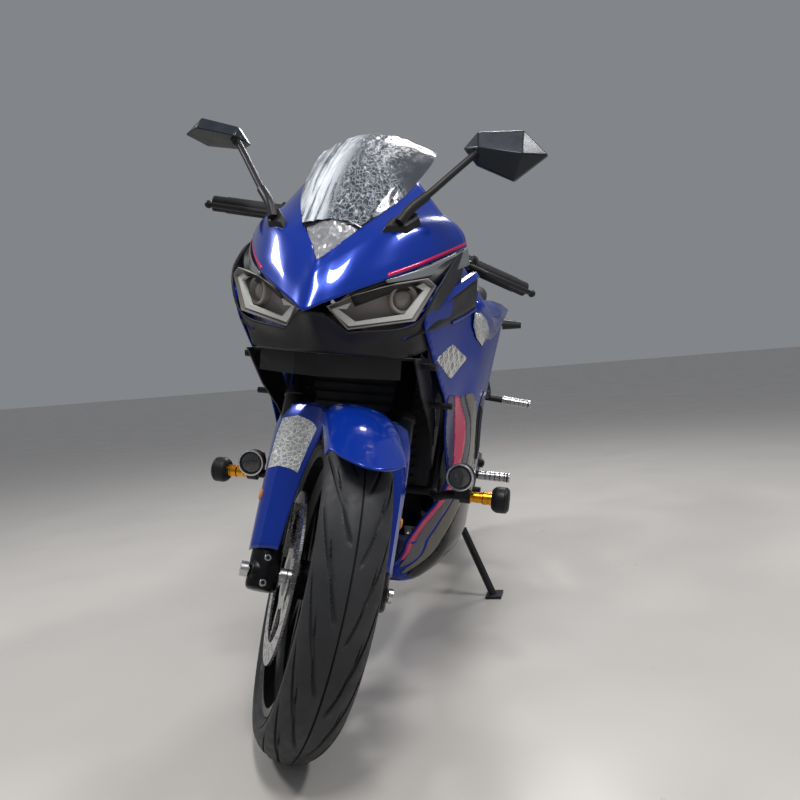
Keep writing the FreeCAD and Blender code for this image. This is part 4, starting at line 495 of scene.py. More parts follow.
def skin(name, rows, finish, core, wall=3.0, angle=30.0, on=ON_FRAME):
    """Sheet through rows of points, with its wall laid towards the core point."""
    count = len(rows[0])
    points = [p for row in rows for p in row]
    faces = [(r * count + c, r * count + c + 1, (r + 1) * count + c + 1, (r + 1) * count + c)
             for r in range(len(rows) - 1) for c in range(count - 1)]
    piece = add_piece(name, points, faces, finish, angle, on)
    face_out(piece, on[0] @ Vector(core))
    if wall:
        give_wall(piece, wall)
    return piece


def lifted(rows, core, height):
    """Rows of points moved away from the core point."""
    core = Vector(core)
    return [[Vector(p) + (Vector(p) - core).normalized() * height for p in row] for row in rows]


def ring_faces(count, near=0, far=None):
    """Faces between two rings of points; near and far are the first points of the rings."""
    far = count if far is None else far
    return [(near + k, near + (k + 1) % count, far + (k + 1) % count, far + k) for k in range(count)]


def fan_faces(count):
    """Faces from the second ring of points to the one point after it."""
    return [(count + k, count + (k + 1) % count, 2 * count) for k in range(count)]


def capped_faces(rings, count):
    """Faces along a row of rings, with both ends closed."""
    faces = []
    for k in range(rings - 1):
        faces += ring_faces(count, k * count, (k + 1) * count)
    top = (rings - 1) * count
    return faces + [tuple(reversed(range(count))), tuple(range(top, top + count))]


def prism(outline, low, high):
    """Plate between two values of y, with its outline in x and z."""
    count = len(outline)
    points = [(p.x, y, p.y) for y in (low, high) for p in outline]
    return points, ring_faces(count) + [tuple(range(count)), tuple(range(count, 2 * count))]


def ring_points(centre, way, across, radius, count):
    other = way.cross(across)
    turns = [2 * math.pi * k / count for k in range(count)]
    return [centre + (across * math.cos(t) + other * math.sin(t)) * radius for t in turns]


def turned(profile, start, way, count=40):
    """Points and faces of a turned form; the profile is (distance along, radius)."""
    way = Vector(way).normalized()
    across = way.orthogonal().normalized()
    points = []
    for along, radius in profile:
        points += ring_points(Vector(start) + way * along, way, across, max(radius, 0.001), count)
    return points, capped_faces(len(profile), count)


def joined(forms):
    """Points and faces of several forms as one."""
    points, faces = [], []
    for more, sides in forms:
        base = len(points)
        points += more
        faces += [tuple(base + k for k in side) for side in sides]
    return points, faces


def lathe(name, profile, start, way, finish, count=40, angle=35.0, on=ON_FRAME):
    return add_piece(name, *turned(profile, start, way, count), finish, angle, on)


def tube_form(points, radius, steps=6, count=12):
    """Round tube along a smooth line."""
    line = smooth_line(points, steps)
    across = (line[1] - line[0]).orthogonal().normalized()
    rings = []
    for k, here in enumerate(line):
        way = (line[min(k + 1, len(line) - 1)] - line[max(k - 1, 0)]).normalized()
        across = (across - way * across.dot(way)).normalized()
        rings += ring_points(here, way, across, radius, count)
    return rings, capped_faces(len(line), count)


def tube(name, points, radius, finish, steps=6, count=12):
    return add_piece(name, *tube_form(points, radius, steps, count), finish, 50.0)


def rounded(outline, radius, steps=4):
    """Outline with its corners rounded off."""
    corners = [Vector(p) for p in outline]
    line = []
    for k, here in enumerate(corners):
        before, after = corners[k - 1], corners[(k + 1) % len(corners)]
        back = min(radius, 0.45 * (before - here).length)
        on = min(radius, 0.45 * (after - here).length)
        a = here + (before - here).normalized() * back
        b = here + (after - here).normalized() * on
        for step in range(steps + 1):
            t = step / steps
            line.append(a * (1 - t) ** 2 + here * (2 * t * (1 - t)) + b * t ** 2)
    return line


def panel(name, outline, surface, finish, core, wall=3.0, step=14.0, lift=0.0):
    """Sheet with a drawn outline, cut into small faces and laid on a surface that is a function of (u, v)."""
    shape = bmesh.new()
    corners = [shape.verts.new((u, v, 0)) for u, v in outline]
    shape.faces.new(corners)
    for axis in (0, 1):
        low = min(p[axis] for p in outline)
        high = max(p[axis] for p in outline)
        cut = (math.floor(low / step) + 1) * step
        while cut < high:
            normal = (1, 0, 0) if axis == 0 else (0, 1, 0)
            where = tuple(n * cut for n in normal)
            everything = shape.verts[:] + shape.edges[:] + shape.faces[:]
            bmesh.ops.bisect_plane(shape, geom=everything, plane_co=where, plane_no=normal)
            cut += step
    bmesh.ops.triangulate(shape, faces=[f for f in shape.faces if len(f.verts) > 4])
    shape.verts.index_update()
    points = [surface(v.co.x, v.co.y) for v in shape.verts]
    faces = [tuple(v.index for v in f.verts) for f in shape.faces]
    shape.free()
    if lift:
        points = lifted([points], core, lift)[0]
    piece = add_piece(name, points, faces, finish)
    face_out(piece, BIKE @ Vector(core))
    give_wall(piece, wall)
    return piece


def between(table, x, column):
    """Value of a table's column at x, on a smooth line through its rows."""
    rows = sorted(table)
    x = min(max(x, rows[0][0]), rows[-1][0])
    k = max(i for i in range(len(rows) - 1) if rows[i][0] <= x) if x > rows[0][0] else 0
    k = min(k, len(rows) - 2)
    a, b = rows[k], rows[k + 1]
    span = b[0] - a[0]
    slope = (b[column] - a[column]) / span
    start = end = slope
    if k > 0:
        start = (b[column] - rows[k - 1][column]) / (b[0] - rows[k - 1][0])
    if k + 2 < len(rows):
        end = (rows[k + 2][column] - a[column]) / (rows[k + 2][0] - a[0])
    return eased(a[column], b[column], start * span, end * span, (x - a[0]) / span)


# Bodywork

# the upper fairing's left half: rows from its lower edge up to the screen, each from the middle outwards
HOOD_ROWS = [
    [(1522, 0, 759), (1505, 26, 772), (1478, 62, 792), (1432, 109, 818), (1384, 141, 838), (1316, 176, 866),
     (1240, 207, 896)],
    [(1503, 0, 790), (1487, 26, 804), (1462, 62, 824), (1420, 106, 846), (1376, 138, 866), (1312, 172, 892),
     (1238, 200, 918)],
    [(1486, 0, 817), (1462, 24, 838), (1436, 54, 864), (1402, 90, 890), (1362, 126, 908), (1304, 160, 924),
     (1236, 184, 936)],
    [(1474, 0, 832), (1450, 19, 852), (1424, 42, 878), (1394, 74, 902), (1350, 108, 924), (1296, 136, 940),
     (1230, 158, 952)],
    [(1467, 0, 841), (1440, 17, 864), (1415, 36, 886), (1394, 52, 906), (1345, 74, 938), (1290, 92, 972),
     (1225, 106, 1012)],
]
CHIN_ROWS = [
    [(1500, 0, 757), (1482, 24, 753), (1452, 53, 727), (1402, 154, 748), (1378, 186, 812), (1312, 198, 862),
     (1240, 205, 892)],
    [(1474, 0, 728), (1460, 24, 724), (1436, 60, 712), (1384, 146, 726), (1356, 176, 768), (1304, 192, 800),
     (1240, 201, 830)],
    [(1448, 0, 692), (1440, 30, 691), (1424, 62, 690), (1372, 136, 692), (1332, 160, 704), (1300, 174, 720),
     (1240, 188, 736)],
]
SILVER_V_ROWS = [
    [(1467, 0, 841), (1467, 0, 841), (1467, 0, 841)],
    [(1441, 0, 868), (1437, 10, 866), (1429, 27, 873)],
    [(1417, 0, 894), (1412, 20, 891), (1403, 42, 893)],
    [(1401, 0, 913), (1398, 24, 910), (1391, 51, 907)],
]
GREY_STRIP_ROWS = [
    [(1437, 108, 816), (1387, 143, 837), (1318, 179, 864), (1240, 209, 894)],
    [(1434, 111, 812), (1380, 152, 826), (1312, 188, 843), (1238, 215, 864)],
]
NOSE_CORE = (1150, 0, 760)
# left lamp: corners round its window, the bucket's depth, the light strip's line and the projector
LAMP_CORNERS = [(1486, 26, 767), (1467, 65, 789), (1422, 118, 812), (1390, 168, 826), (1379, 181, 815),
                (1400, 154, 754), (1450, 53, 732)]
LAMP_BACK = 34.0
LAMP_TAPER = 0.82
LAMP_STRIP = [(1464, 62, 776), (1477, 31, 762), (1451, 57, 738), (1402, 150, 758), (1384, 175, 810),
              (1389, 163, 818)]
STRIP_WIDTH = 13
STRIP_FRONT = 5
STRIP_BACK = 12
PROJECTOR_CENTRE = (1399, 136, 789)
PROJECTOR_RADIUS = 26.0


def upper_fairing():
    """Pointed hood over the lamps with its stripes, the film-covered piece under the screen and the chin."""
    rows = smooth_grid(both_halves(HOOD_ROWS), 7, sharp_rows=(3,))
    hood = skin("upper_fairing", rows, "blue_paint", NOSE_CORE, 3.2)
    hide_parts("nose_cowl")
    half = smooth_grid(HOOD_ROWS, 8, sharp_rows=(3,))
    for side, name in SIDES:
        stripe = flipped([row[24:] for row in half[1:4]], side)
        skin("nose_pinstripe_" + name, lifted(stripe, NOSE_CORE, 0.5), "magenta", NOSE_CORE, 0.4)
        wedge = smooth_grid(flipped(GREY_STRIP_ROWS, side), 6)
        skin("nose_grey_strip_" + name, wedge, "pale_strip", NOSE_CORE, 1.6)
    crumpled = [[p + Vector((1, 0, 1)) * (1.4 * noise.noise(p * 0.11)) for p in row]
                for row in smooth_grid(both_halves(SILVER_V_ROWS), 8)]
    skin("silver_v_piece", crumpled, "soft_film", NOSE_CORE, 2.0)
    chin = smooth_grid(both_halves(CHIN_ROWS), 6, sharp_columns=(4, 8))
    skin("chin_panel", chin, "black_plastic", NOSE_CORE, 3.0)
    rib = [(1374, -136, 706), (1424, -60, 704), (1450, 0, 704), (1424, 60, 704), (1374, 136, 706)]
    tube("chin_rib", rib, 3.5, "black_plastic")


def lamps():
    """Slanted lamps: grey bucket, round projector, light strip along the lower corner and smoky lens."""
    for side, name in SIDES:
        corners = on_side(LAMP_CORNERS, side)
        middle = sum(corners, Vector()) / len(corners)
        out = (corners[3] - corners[0]).cross(corners[5] - corners[0]).normalized()
        if out.x < 0:
            out = -out
        back = [middle + (p - middle) * LAMP_TAPER - out * LAMP_BACK for p in corners]
        count = len(corners)
        faces = ring_faces(count) + [tuple(range(count, 2 * count))]
        bucket = add_piece("lamp_bucket_" + name, corners + back, faces, "lamp_grey", 20.0)
        give_wall(bucket, 1.5)
        strip = on_side(LAMP_STRIP, side)
        inner = [p + (middle - p).normalized() * STRIP_WIDTH for p in strip]
        inner[0] = strip[0] + (strip[1] - strip[2]).normalized().cross(out) * -STRIP_WIDTH * side
        front = [p - out * STRIP_FRONT for p in strip + inner]
        low = [p - out * STRIP_BACK for p in strip + inner]
        runs = len(strip)
        faces = []
        for k in range(runs - 1):
            faces.append((k, k + 1, runs + k + 1, runs + k))
            faces.append((2 * runs + k, 2 * runs + k + 1, k + 1, k))
            faces.append((runs + k, runs + k + 1, 3 * runs + k + 1, 3 * runs + k))
        add_piece("lamp_strip_" + name, front + low, faces, "light_strip", 25.0)
        start = on_side([PROJECTOR_CENTRE], side)[0] - out * 26
        r = PROJECTOR_RADIUS
        ring = [(0, r), (16, r), (18, r - 2), (18, r - 5), (12, r - 7), (6, r - 9), (6, 2)]
        lathe("lamp_ring_" + name, ring, start, out, "lamp_ring", 48)
        ball = [(6, r - 9)]
        for k in range(1, 8):
            turn = math.pi / 2 * k / 8
            ball.append((6 + 11 * math.sin(turn), (r - 9) * math.cos(turn)))
        ball.append((17, 0.1))
        lathe("lamp_projector_" + name, ball, start, out, "projector", 40)
        rim = rounded([(p.y, p.z) for p in corners], 9.0)
        plane_x = [middle.x - (out.y * (u - middle.y) + out.z * (v - middle.z)) / out.x for u, v in rim]
        dome = [Vector((x, u, v)) for x, (u, v) in zip(plane_x, rim)]
        near = [p * 0.55 + middle * 0.45 + out * 4 for p in dome]
        points = dome + near + [middle + out * 5]
        faces = ring_faces(len(dome)) + fan_faces(len(dome))
        glass = add_piece("lamp_lens_" + name, points, faces, "smoky_lens", 60.0)
        face_out(glass, BIKE @ (middle - out * 60))
        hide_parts("headlight_" + name)


# sections of the screen: x, half width of the lower edge, rise of the middle over the edge
SCREEN_SECTIONS = [(1400, 50, 8), (1300, 88, 54), (1210, 106, 60), (1140, 114, 48), (1108, 114, 26)]
SCREEN_FOOT_X = 1392.0
SCREEN_FOOT_Z = 906.0
SCREEN_SLOPE = 0.625
SCREEN_CORE = (1200, 0, 860)
SCREEN_FILM_LIFT = 4.5


def screen_rows(lift):
    """Arcs across the screen, moved out by the lift."""
    rows = []
    for x, half, rise in SCREEN_SECTIONS:
        edge = SCREEN_FOOT_Z + SCREEN_SLOPE * (SCREEN_FOOT_X - x)
        row = []
        radius = (half ** 2 + rise ** 2) / (2 * rise)
        spread = math.atan2(half, radius - rise)
        for k in range(-4, 5):
            turn = spread * k / 4
            row.append((x + lift * 0.5, (radius + lift) * math.sin(turn),
                        edge + rise - radius + (radius + lift) * math.cos(turn)))
        rows.append(row)
    return rows


def screen_film():
    """Dark windscreen and the creased protective film over it."""
    rows = smooth_grid(screen_rows(SCREEN_FILM_LIFT), 12)
    loose = []
    for row in rows:
        line = []
        for p in row:
            ripple = 2.2 * noise.noise(Vector((p.x * 0.03, p.y * 0.09, p.z * 0.03)))
            ripple += 0.9 * noise.noise(p * 0.16)
            line.append(p + Vector((0.5, 0, 0.8)) * (ripple + 0.6))
        loose.append(line)
    sheet = skin("screen_sheet", smooth_grid(screen_rows(0.0), 12), "smoked_screen", SCREEN_CORE, 2.6, 60.0)
    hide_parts("windscreen")
    piece = skin("screen_film", loose, "screen_film", SCREEN_CORE, 0.0, 60.0)


# heights of the creases along the side panel, then rows of x and the half width at each height
SIDE_HEIGHTS = [905, 800, 690, 560, 430, 284]
SIDE_TABLE = [
    (1410, 160, 172, 150, 140, 120, 60),
    (1300, 186, 194, 172, 158, 140, 72),
    (1180, 196, 208, 190, 176, 164, 84),
    (1100, 194, 218, 208, 184, 168, 96),
    (1000, 190, 228, 224, 212, 207, 176),
    (820, 180, 246, 226, 208, 206, 190),
    (600, 170, 236, 216, 196, 186, 160),
]
# the belly's floor: x, half width, height
FLOOR_TABLE = [(680, 92, 198), (820, 112, 194), (1000, 104, 196), (1060, 78, 206), (1092, 44, 226)]
BELLY_EDGE = 300.0
SIDE_CORE = (950, 0, 560)
# outlines on the side panel, in x and z
SIDE_OUTLINE = [(1392, 752), (1386, 800), (1242, 872), (1140, 846), (1010, 802), (900, 790), (846, 806),
                (800, 760), (752, 662), (716, 560), (690, 420), (654, 340), (676, 240), (700, 202),
                (820, 197), (1000, 199), (1060, 209), (1090, 229), (1099, 286), (1094, 360), (1075, 392),
                (1073, 434), (1092, 474), (1132, 523), (1174, 600), (1244, 648), (1312, 696)]
SIDE_OUTLET = [(930, 588), (860, 620), (800, 560), (830, 470), (900, 440), (925, 500)]
INDICATOR_OUTLINE = [(1288, 689), (1208, 717), (1116, 690), (1180, 650)]
RED_FRONT = [(1132, 618), (1100, 578), (1080, 538), (1073, 498), (1070, 462), (1066, 425), (1074, 388),
             (1090, 350), (1094, 300), (1092, 262)]
RED_BACK = [(1084, 262), (1080, 300), (1072, 350), (1056, 392), (1048, 425), (1047, 455), (1035, 488),
            (1031, 520), (1042, 562), (1094, 612)]
RED_BAND = RED_FRONT + RED_BACK
SILVER_BAND = RED_BACK[::-1] + [(1080, 240), (1060, 262), (1056, 300), (1048, 345), (1034, 395), (1020, 436),
                                (1013, 477), (1005, 515), (1018, 559), (1075, 616)]
CREAM_BAND = [(1071, 616), (1014, 559), (1001, 515), (1009, 477), (1016, 436), (1029, 395), (1043, 345),
              (1051, 300), (1056, 262), (1072, 236), (1064, 224), (1040, 262), (1022, 300), (1006, 345),
              (984, 395), (962, 436), (944, 477), (936, 520), (958, 575), (1030, 618)]
# near-black sheet over the back of the belly, behind the cream band: painted shade
BELLY_SHADE_OUTLINE = [(936, 518), (944, 477), (962, 436), (984, 395), (1006, 345), (1022, 300), (1040, 262),
             (1060, 226), (1030, 208), (900, 204), (780, 212), (720, 300), (760, 380), (840, 436),
             (900, 440)]
NAVY_AREA = [(1176, 618), (1160, 575), (1130, 528), (1094, 482), (1076, 445)] + RED_FRONT[4::-1]
# each band's outline, finish and height over the panel, and the same for the painted shade on the belly
BANDS = {
    "red_band": (RED_BAND, "magenta", 1.0),
    "silver_band": (SILVER_BAND, "silver_paint_with_shade", 1.0),
    "cream_band": (CREAM_BAND, "cream_paint_with_shade", 0.9),
    "navy_area": (NAVY_AREA, "navy_paint", 0.9),
    "belly_painted_shade": (BELLY_SHADE_OUTLINE, "painted_shade_finish", 0.8),
}

# along the top of the left side panel: a blade, the recess under it painted dark as shade, the shroud and its film
BLADE_TOP = [(1190, 222, 856), (1266, 202, 827), (1332, 180, 799), (1378, 156, 765), (1398, 131, 731)]
BLADE_LOW = [(1188, 228, 847), (1262, 209, 817), (1328, 189, 788), (1374, 165, 754), (1396, 134, 720)]
RECESS_LOW = [(1122, 217, 791), (1179, 206, 775), (1258, 193, 759), (1362, 173, 740), (1394, 137, 720)]
SHROUD = [(1144, 215, 800), (1076, 220, 809), (951, 228, 814), (905, 244, 810), (850, 256, 800),
          (880, 249, 771), (871, 235, 744), (930, 229, 723), (1027, 224, 735), (1104, 217, 768)]
SHROUD_TOP = (987, 233, 780)
SHROUD_FILM = [(1129, 217, 781), (1086, 223, 783), (1026, 229, 771), (974, 231, 751), (978, 229, 732),
               (1032, 224, 717), (1080, 218, 732), (1119, 215, 756)]
CHEEK_ROWS = [
    [(1476, 60, 788), (1432, 106, 815), (1384, 138, 835), (1316, 172, 863), (1240, 203, 893)],
    [(1440, 60, 770), (1395, 118, 800), (1362, 168, 812), (1312, 193, 858), (1240, 202, 888)],
]


def side_half(x, z):
    """Half width of the side panels, and below their edge of the belly pan."""
    level = max(z, BELLY_EDGE)
    widths = [(height, between(SIDE_TABLE, x, 1 + k)) for k, height in enumerate(SIDE_HEIGHTS)]
    if level > SIDE_HEIGHTS[2]:
        upper, lower = widths[0:2] if level > SIDE_HEIGHTS[1] else widths[1:3]
        share = (level - lower[0]) / (upper[0] - lower[0])
        half = lower[1] + (upper[1] - lower[1]) * share
    else:
        half = between(widths[2:], level, 1)
    if z < BELLY_EDGE:
        floor_half = between(FLOOR_TABLE, x, 1)
        floor_z = between(FLOOR_TABLE, x, 2)
        share = min(1.0, max(0.0, (z - floor_z) / (BELLY_EDGE - floor_z)))
        half = floor_half + (half - floor_half) * math.sin(share * math.pi / 2) ** 0.8
    return half


def side_fairings():
    """Side panels with bands of colour, painted shade on the belly, dark outlet and flush indicators, and the
    floor under the belly.
    """
    for side, name in SIDES:
        def surface(x, z, side=side):
            return (x, side_half(x, z) * side, z)
        piece = panel("side_panel_" + name, rounded(SIDE_OUTLINE, 26.0), surface, "side_blue", SIDE_CORE, 3.2)
        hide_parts("side_fairing_" + name)
        for band, (corners, finish, height) in BANDS.items():
            panel(band + "_" + name, rounded(corners, 12.0), surface, finish, SIDE_CORE, 0.5, 8.0, height)
        panel("outlet_mouth_" + name, rounded(SIDE_OUTLET, 22.0), surface, "black_plastic", SIDE_CORE,
              0.6, 12.0, 1.4)
        slats = []
        for k in range(5):
            share = (k + 0.5) / 5
            a = Vector((918 - 100 * share, 0, 583 - 20 * share))
            b = Vector((900 - 80 * share, 0, 458 + 20 * share))
            line = []
            for step in range(7):
                p = a.lerp(b, step / 6)
                line.append((p.x, (side_half(p.x, p.z) + 2.5) * side, p.z))
            slats.append(tube_form(line, 2.6, 2, 8))
        add_piece("outlet_slats_" + name, *joined(slats), "black_plastic")
        cells = panel("indicator_cells_" + name, rounded(INDICATOR_OUTLINE, 9.0), surface, "cell_lens",
                      SIDE_CORE, 3.0, 10.0, 3.4)
        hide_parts("indicator_" + name)
    shares = (-1, -0.5, 0, 0.5, 1)
    floor_rows = [[(x, half * share, z - 2 + 4 * abs(share)) for share in shares]
                  for x, half, z in [(640, 84, 204)] + FLOOR_TABLE]
    floor_rows.append([(1098, 30 * share, 262) for share in shares])
    pan = skin("belly_floor", smooth_grid(floor_rows, 4), "side_blue", (900, 0, 400), 3.0)
    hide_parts("belly_pan")


def side_details():
    """Blade, recess painted dark as shade, shroud and creased film at the top of each side panel, and the lamp's
    cheek.
    """
    for side, name in SIDES:
        inner = [(x + 4, y - 9, z - 1) for x, y, z in BLADE_TOP]
        blade = smooth_grid(flipped([inner, BLADE_TOP, BLADE_LOW], side), 6, sharp_rows=(1,))
        skin("side_blade_" + name, blade, "blue_paint", SIDE_CORE, 3.0, 40.0)
        # the recess under the blade is a dark sheet of black plastic: painted shade
        deep = [(x, y - 4, z + 2) for x, y, z in BLADE_LOW]
        recess_shade = smooth_grid(flipped([deep, RECESS_LOW], side), 5)
        skin("side_recess_shade_" + name, recess_shade, "black_plastic", SIDE_CORE, 1.0, 40.0)
        crease = [(x, y * side, z - 2) for x, y, z in RECESS_LOW[:3]]
        tube("side_crease_" + name, crease, 2.6, "blue_paint", 8, 16)
        cheek = smooth_grid(flipped(CHEEK_ROWS, side), 5)
        skin("lamp_cheek_" + name, cheek, "black_plastic", (1300, 0, 900), 2.0, 40.0)
        for title, outline, top, finish, wall in (("side_shroud_", SHROUD, SHROUD_TOP, "blue_paint", 4.0),
                                                  ("shroud_film_", SHROUD_FILM, None, "crumpled_film", 1.2)):
            ring = on_side(outline, side)
            if top:
                middle = on_side([top], side)[0]
            else:
                middle = sum(ring, Vector()) / len(ring) + Vector((3, 4 * side, 0))
            between_ring = []
            for k, p in enumerate(ring):
                q = p.lerp(middle, 0.45) + Vector((0, 1.6 * side, 0))
                if not top:
                    q += Vector((0, (2.4 if k % 2 else -1.6) * side, 0))
                between_ring.append(q)
            faces = ring_faces(len(ring)) + fan_faces(len(ring))
            cover = add_piece(title + name, ring + between_ring + [middle], faces, finish, 24.0)
            face_out(cover, BIKE @ Vector(SIDE_CORE))
            give_wall(cover, wall)


def held_apply(piece):
    """Turn a piece's modifiers into its mesh."""
    graph = bpy.context.evaluated_depsgraph_get()
    mesh = bpy.data.meshes.new_from_object(piece.evaluated_get(graph))
    piece.modifiers.clear()
    piece.data = mesh


def closed_section(row):
    """Half a seat's section, closed along its underside."""
    x, foot, foot_z = row[0], row[6], row[7]
    return half_section(*row) + [(x, foot * 0.5, foot_z), (x, 0, foot_z)]


# a seat's even faces and the most a point may move, in metres; slices along it and the held height, in mm
SEAT_FACE = 0.006
SEAT_MOVE = 0.006
SEAT_SLICE = 40
HELD_HEIGHT = 9
CLOTH_FRAMES = 20
SEAT_PRESSURE = 4.0


def padded_seat(name, node, table):
    """Seat pad: a closed form filled out like cloth under pressure, held along its base."""
    table = sorted(table)
    rows = smooth_grid(both_halves([closed_section(row) for row in table]), 5)
    middle = table[len(table) // 2]
    core = (middle[0], 0, (middle[1] + middle[7]) / 2)
    piece = skin(name, closed_ends(rows), "seat_cover", core, 0.0, 40.0)
    even = piece.modifiers.new("even_faces", "REMESH")
    even.mode = "VOXEL"
    even.voxel_size = SEAT_FACE
    held_apply(piece)
    piece.data.materials.clear()
    piece.data.materials.append(LOOK["seat_cover"])
    to_bike = BIKE.inverted() @ piece.matrix_world
    places = [to_bike @ v.co for v in piece.data.vertices]
    rest = [v.co.copy() for v in piece.data.vertices]
    low = {}
    for p in places:
        part = round(p.x / SEAT_SLICE)
        low[part] = min(low.get(part, p.z), p.z)
    base = [k for k, p in enumerate(places) if p.z < low[round(p.x / SEAT_SLICE)] + HELD_HEIGHT]
    piece.vertex_groups.new(name="base").add(base, 1.0, "REPLACE")
    cloth = piece.modifiers.new("padding", "CLOTH")
    cloth.settings.quality = 5
    cloth.settings.use_pressure = True
    cloth.settings.uniform_pressure_force = SEAT_PRESSURE
    cloth.settings.effector_weights.gravity = 0.0
    cloth.settings.vertex_group_mass = "base"
    cloth.collision_settings.use_collision = False
    cloth.point_cache.frame_start = 1
    cloth.point_cache.frame_end = CLOTH_FRAMES
    scene = bpy.context.scene
    for number in range(1, CLOTH_FRAMES + 1):
        scene.frame_set(number)
    held_apply(piece)
    scene.frame_set(1)
    for v, start in zip(piece.data.vertices, rest):
        move = v.co - start
        if move.length > SEAT_MOVE:
            v.co = start + move.normalized() * SEAT_MOVE
    smooth = piece.modifiers.new("smooth_cover", "SUBSURF")
    smooth.levels = 1
    smooth.render_levels = 1
    held_apply(piece)
    for face in piece.data.polygons:
        face.use_smooth = True
    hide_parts(node)


# Front mudguard, in the fork's frame: rows across the hood, each from the middle outwards
GUARD_ROWS = [
    [(301, 0, 140), (297, 20, 143), (281, 42, 153), (259, 60, 166), (246, 65, 160)],
    [(280, 0, 164), (277, 20, 166), (265, 42, 172), (246, 60, 182), (228, 65, 176)],
    [(240, 0, 212), (237, 20, 213), (230, 42, 212), (216, 60, 208), (200, 65, 198)],
    [(160, 0, 276), (159, 20, 275), (156, 42, 270), (149, 60, 258), (138, 65, 242)],
    [(30, 0, 317), (30, 20, 316), (29, 42, 310), (28, 60, 296), (26, 65, 278)],
    [(-110, 0, 299), (-110, 20, 298), (-108, 42, 292), (-103, 60, 279), (-97, 65, 262)],
    [(-218, 0, 228), (-217, 20, 227), (-213, 42, 223), (-204, 60, 212), (-193, 65, 200)],
]
# guard over the left fork leg, from the hood down: inner edge, ridge, outer face and the edge behind
WING_ROWS = [
    [(118, 56, 262), (80, 62, 290), (48, 88, 302), (20, 112, 300), (-20, 124, 288)],
    [(92, 59, 232), (66, 72, 260), (44, 98, 274), (16, 121, 270), (-20, 128, 264)],
    [(62, 66, 196), (52, 82, 214), (38, 108, 224), (10, 126, 220), (-20, 129, 214)],
    [(46, 72, 150), (41, 91, 156), (31, 114, 158), (6, 127, 156), (-20, 129, 152)],
    [(40, 79, 96), (37, 95, 98), (28, 115, 97), (4, 127, 95), (-18, 129, 92)],
    [(37, 84, 36), (34, 98, 37), (25, 116, 36), (2, 127, 35), (-14, 129, 34)],
]
GUARD_CORE = (0, 0, 60)
GUARD_FILM_LIFT = 0.8


def front_mudguard():
    """Rounded mudguard and a guard down over each fork leg, with a reflector; film is left on the right."""
    rows = smooth_grid(both_halves(GUARD_ROWS), 6)
    hood = skin("mudguard_hood", rows, "blue_paint", GUARD_CORE, 3.2, on=ON_FORK)
    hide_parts("front_mudguard")
    for side, name in SIDES:
        wing = smooth_grid(flipped(WING_ROWS, side), 6, sharp_columns=(2,))
        core = (-30, 97 * side, 160)
        skin("fork_guard_" + name, wing, "blue_paint", core, 2.6, on=ON_FORK)
        patch = [row[3:19] for row in wing[6:17]]
        if side < 0:
            creased = [[p + Vector((0, -1, 0)) * (0.9 * noise.noise(p * 0.2)) for p in row]
                       for row in lifted(patch, core, GUARD_FILM_LIFT)]
            skin("guard_film", creased, "crumpled_film", core, 0.0, 60.0, ON_FORK)
        lathe("side_reflector_" + name, [(0, 9), (1, 10), (4, 10), (5, 8)], (-6, 127 * side, 132),
              (0, side, 0), "amber_lens", 28, on=ON_FORK)


# Wheels

# grooves: where each starts in its pitch, from and to which share across the crown it runs, how far it
# sweeps along, and its half width, both in pitches
GROOVES = ((0.0, 0.1, 0.62, 1.15, 0.085), (0.5, 0.32, 0.96, 1.2, 0.095))
CENTRE_GROOVE = 0.022
GROOVE_DEPTH = 4.2


def groove_share(turn, share):
    """How deep the grooves are, from 0 to 1, at a turn in pitches and a share across the crown."""
    deepest = 1.0 if abs(share) < CENTRE_GROOVE else 0.0
    for side in (-1, 1):
        across = share * side
        if across < 0.07 or across > 0.97:
            continue
        for first, low, high, sweep, width in GROOVES:
            along = (across - low) / (high - low)
            if along < 0 or along > 1:
                continue
            centre = first + sweep * along ** 1.6 + (0.25 if side < 0 else 0.0)
            gap = (turn - centre) % 1.0
            gap = min(gap, 1 - gap)
            taper = min(1.0, 5 * along, 6 * (1 - along))
            reach = width * (0.5 + 0.5 * taper)
            if gap < reach:
                deepest = max(deepest, min(1.0, (reach - gap) / reach * 1.8) * taper)
    return deepest


def tyre(name, node, on, radius, width, crown, rim_half, pitches, count=720):
    """Road tyre with long curved grooves cut into its crown, and ribs round its bead; all in millimetres."""
    half = width / 2
    spread = math.asin(half / crown)
    lines = []
    for k in range(-40, 41):
        share = k / 40
        angle = spread * share
        lines.append((radius - crown + crown * math.cos(angle), crown * math.sin(angle), share))
    edge = lines[-1][0]
    wall = [(edge - 7, half + 0.6), (edge - 16, half - 0.2), (244, half - 2), (236, half - 4.5),
            (234, half - 4.2), (230, rim_half + 3.2), (227, rim_half + 1.0), (219.5, rim_half)]
    wall = [(r, y, None) for r, y in sorted(wall, reverse=True)]
    profile = [(r, -y, s) for r, y, s in reversed(wall)] + lines + wall
    points, faces = [], []
    for k in range(count):
        turn = 2 * math.pi * k / count
        for r, y, share in profile:
            if share is not None:
                r -= GROOVE_DEPTH * groove_share(k / count * pitches, share)
            points.append((r * math.cos(turn), y, r * math.sin(turn)))
    wide = len(profile)
    for k in range(count):
        n = (k + 1) % count
        for c in range(wide - 1):
            faces.append((k * wide + c, k * wide + c + 1, n * wide + c + 1, n * wide + c))
    piece = add_piece(name, points, faces, "tyre_rubber", 38.0, on)
    face_out(piece, on[0].translation)
    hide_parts(node)


def wheels():
    tyre("front_road_tyre", "front_tyre", (FORK, "front_wheel"), FRONT_TYRE_RADIUS, 110.0, 62.0, 42.0, 16)
    tyre("rear_road_tyre", "rear_tyre", (REAR, "rear_wheel"), REAR_TYRE_RADIUS, 140.0, 80.0, 56.0, 17)


